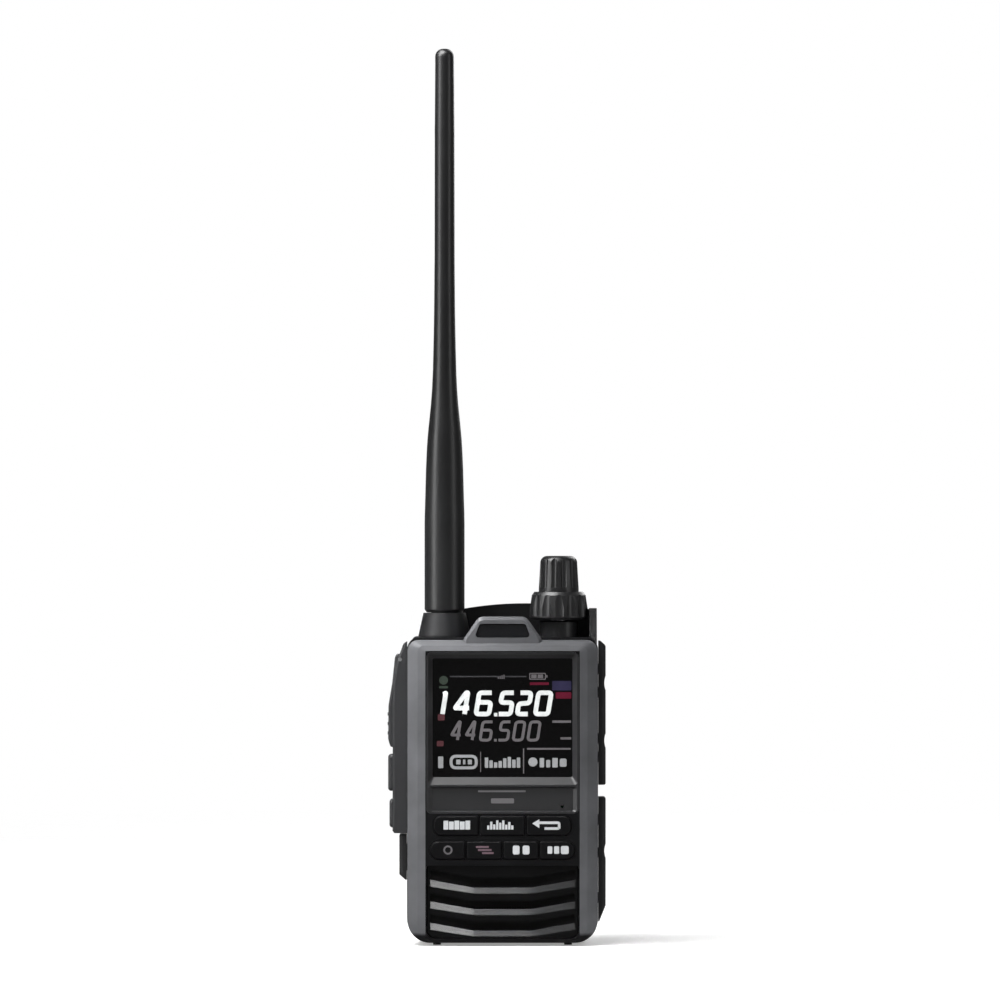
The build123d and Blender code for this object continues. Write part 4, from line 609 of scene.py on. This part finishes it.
# One leg lies on the bracket, and the other, past the coil, on the clip's arm.
wire = [(-COIL_HALF, 34.62, 71.2), (-COIL_HALF, 34.68, 70.2), (-COIL_HALF, 34.72, 69.2)]
for k in range(STEPS + 1):
    a = math.radians(180 + STEP * k)
    y, z = PIVOT_Y + COIL_R * math.cos(a), PIVOT_Z + COIL_R * math.sin(a)
    wire.append((-COIL_HALF + 2 * COIL_HALF * k / STEPS, y, z))
wire += [(COIL_HALF, 37.5, 69.2), (COIL_HALF, 37.35, 70.1), (COIL_HALF, 37.2, 70.9)]
spring = tube("clip_torsion_spring", wire, WIRE_R, STEEL)
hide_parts("clip_spring")
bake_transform(spring)

# ---- Floor, light and camera -----------------------------------------------------------
bpy.ops.mesh.primitive_plane_add(size=4, location=(0, 0, 0))
floor = bpy.context.object
floor.name = "floor"
ground = Tree("pale_floor")
patches = ground.spread(ground.noise(6, 3), 0, 1)
tone = ground.mix(patches, (0.9, 0.9, 0.9), (0.93, 0.93, 0.93))
ground.link(tone, ground.bsdf.inputs["Base Color"])

# The floor fades into the white background with its distance from the middle, in metres.
FADE_START, FADE_END = 0.15, 1.1
distance = ground.node("ShaderNodeVectorMath", operation="LENGTH")
ground.link(ground.coord, distance.inputs[0])
fade = ground.node("ShaderNodeMapRange", interpolation_type="SMOOTHSTEP")
fade.inputs["From Min"].default_value = FADE_START
fade.inputs["From Max"].default_value = FADE_END
fade.inputs["To Min"].default_value = 1.0
fade.inputs["To Max"].default_value = 0.0
ground.link(distance.outputs["Value"], fade.inputs["Value"])

# Glossy pieces see only a little of the floor, and the camera sees it glow.
MIRROR_LOSS, FLOOR_GLOW = 0.85, 0.3
path = ground.node("ShaderNodeLightPath")
lost = ground.math("MULTIPLY", path.outputs["Is Glossy Ray"], MIRROR_LOSS)
kept = ground.math("SUBTRACT", 1.0, lost)
alpha = ground.math("MULTIPLY", fade.outputs["Result"], kept)
ground.link(alpha, ground.bsdf.inputs["Alpha"])
glow = ground.math("MULTIPLY", path.outputs["Is Camera Ray"], FLOOR_GLOW)
ground.bsdf.inputs["Emission Color"].default_value = (1, 1, 1, 1)
ground.link(glow, ground.bsdf.inputs["Emission Strength"])
ground.set(rough=0.9, spec=0.1)
floor.data.materials.append(ground.mat)

# The background is white to the camera, and dim to everything that it lights.
WORLD_LIGHT, WORLD_SEEN = 0.13, 1.0
world = bpy.data.worlds.new("studio")
bpy.context.scene.world = world
world.use_nodes = True
sky = world.node_tree
background = sky.nodes["Background"]
background.inputs["Color"].default_value = (1, 1, 1, 1)
seen = sky.nodes.new("ShaderNodeLightPath").outputs["Is Camera Ray"]
level = sky.nodes.new("ShaderNodeMapRange")
level.inputs["To Min"].default_value = WORLD_LIGHT
level.inputs["To Max"].default_value = WORLD_SEEN
sky.links.new(seen, level.inputs["Value"])
sky.links.new(level.outputs["Result"], background.inputs["Strength"])


def aim(made, spot, target):
    bpy.context.scene.collection.objects.link(made)
    made.location = spot
    toward = Vector(target) - Vector(spot)
    made.rotation_euler = toward.to_track_quat("-Z", "Y").to_euler()


def area(name, spot, target, size, power, spread=180):
    """A rectangular lamp that the camera doesn't see. Its spread is in degrees."""
    light = bpy.data.lights.new(name, "AREA")
    light.shape = "RECTANGLE"
    light.size, light.size_y = size
    light.energy = power
    light.spread = math.radians(spread)
    made = bpy.data.objects.new(name, light)
    aim(made, spot, target)
    made.visible_camera = False


sun = bpy.data.lights.new("soft_sun", "SUN")
sun.energy = 1.5
sun.angle = math.radians(30)
aim(bpy.data.objects.new("soft_sun", sun), (-0.45, -0.6, 1.0), (0, 0, 0))
area("left_box", (-0.6, -0.3, 0.3), (0, 0, 0.12), (0.2, 0.7), 2.4)
area("right_box", (0.8, -0.5, 0.3), (0, 0, 0.12), (0.15, 0.7), 0.9)
area("top_box", (-0.11, -0.06, 0.36), (-0.04, -0.02, 0.09), (0.14, 0.2), 0.75)
area("corner_box", (-0.065, -0.04, 0.17), (-0.02, -0.01, 0.09), (0.05, 0.05), 0.02, 40)
# Two narrow lamps whose light the louvres' slopes throw to the camera, the left one brighter.
LOUVRES, LAMP = (0, 0, 0.012), (0.07, 0.08)
area("left_strip", (-0.11, -0.79, 0.66), LOUVRES, LAMP, 0.013, 9)
area("right_strip", (0.11, -0.79, 0.66), LOUVRES, LAMP, 0.0012, 9)
area("back_box", (0.45, 0.9, 0.6), (0, 0, 0.1), (0.5, 0.7), 4.0)

# A long lens in front of the radio, back by the distance that makes the frame this wide.
LENS_MM, SENSOR_MM, FRAME_WIDTH = 300, 36, 0.2941
camera_data = bpy.data.cameras.new("camera")
camera_data.lens = LENS_MM
camera_data.sensor_width = SENSOR_MM
camera = bpy.data.objects.new("camera", camera_data)
bpy.context.scene.collection.objects.link(camera)
camera.location = (0.00096, -0.012 - FRAME_WIDTH * LENS_MM / SENSOR_MM, 0.1309)
camera.rotation_euler = (math.radians(90), 0, 0)
bpy.context.scene.camera = camera
bpy.context.scene.view_settings.view_transform = "Standard"
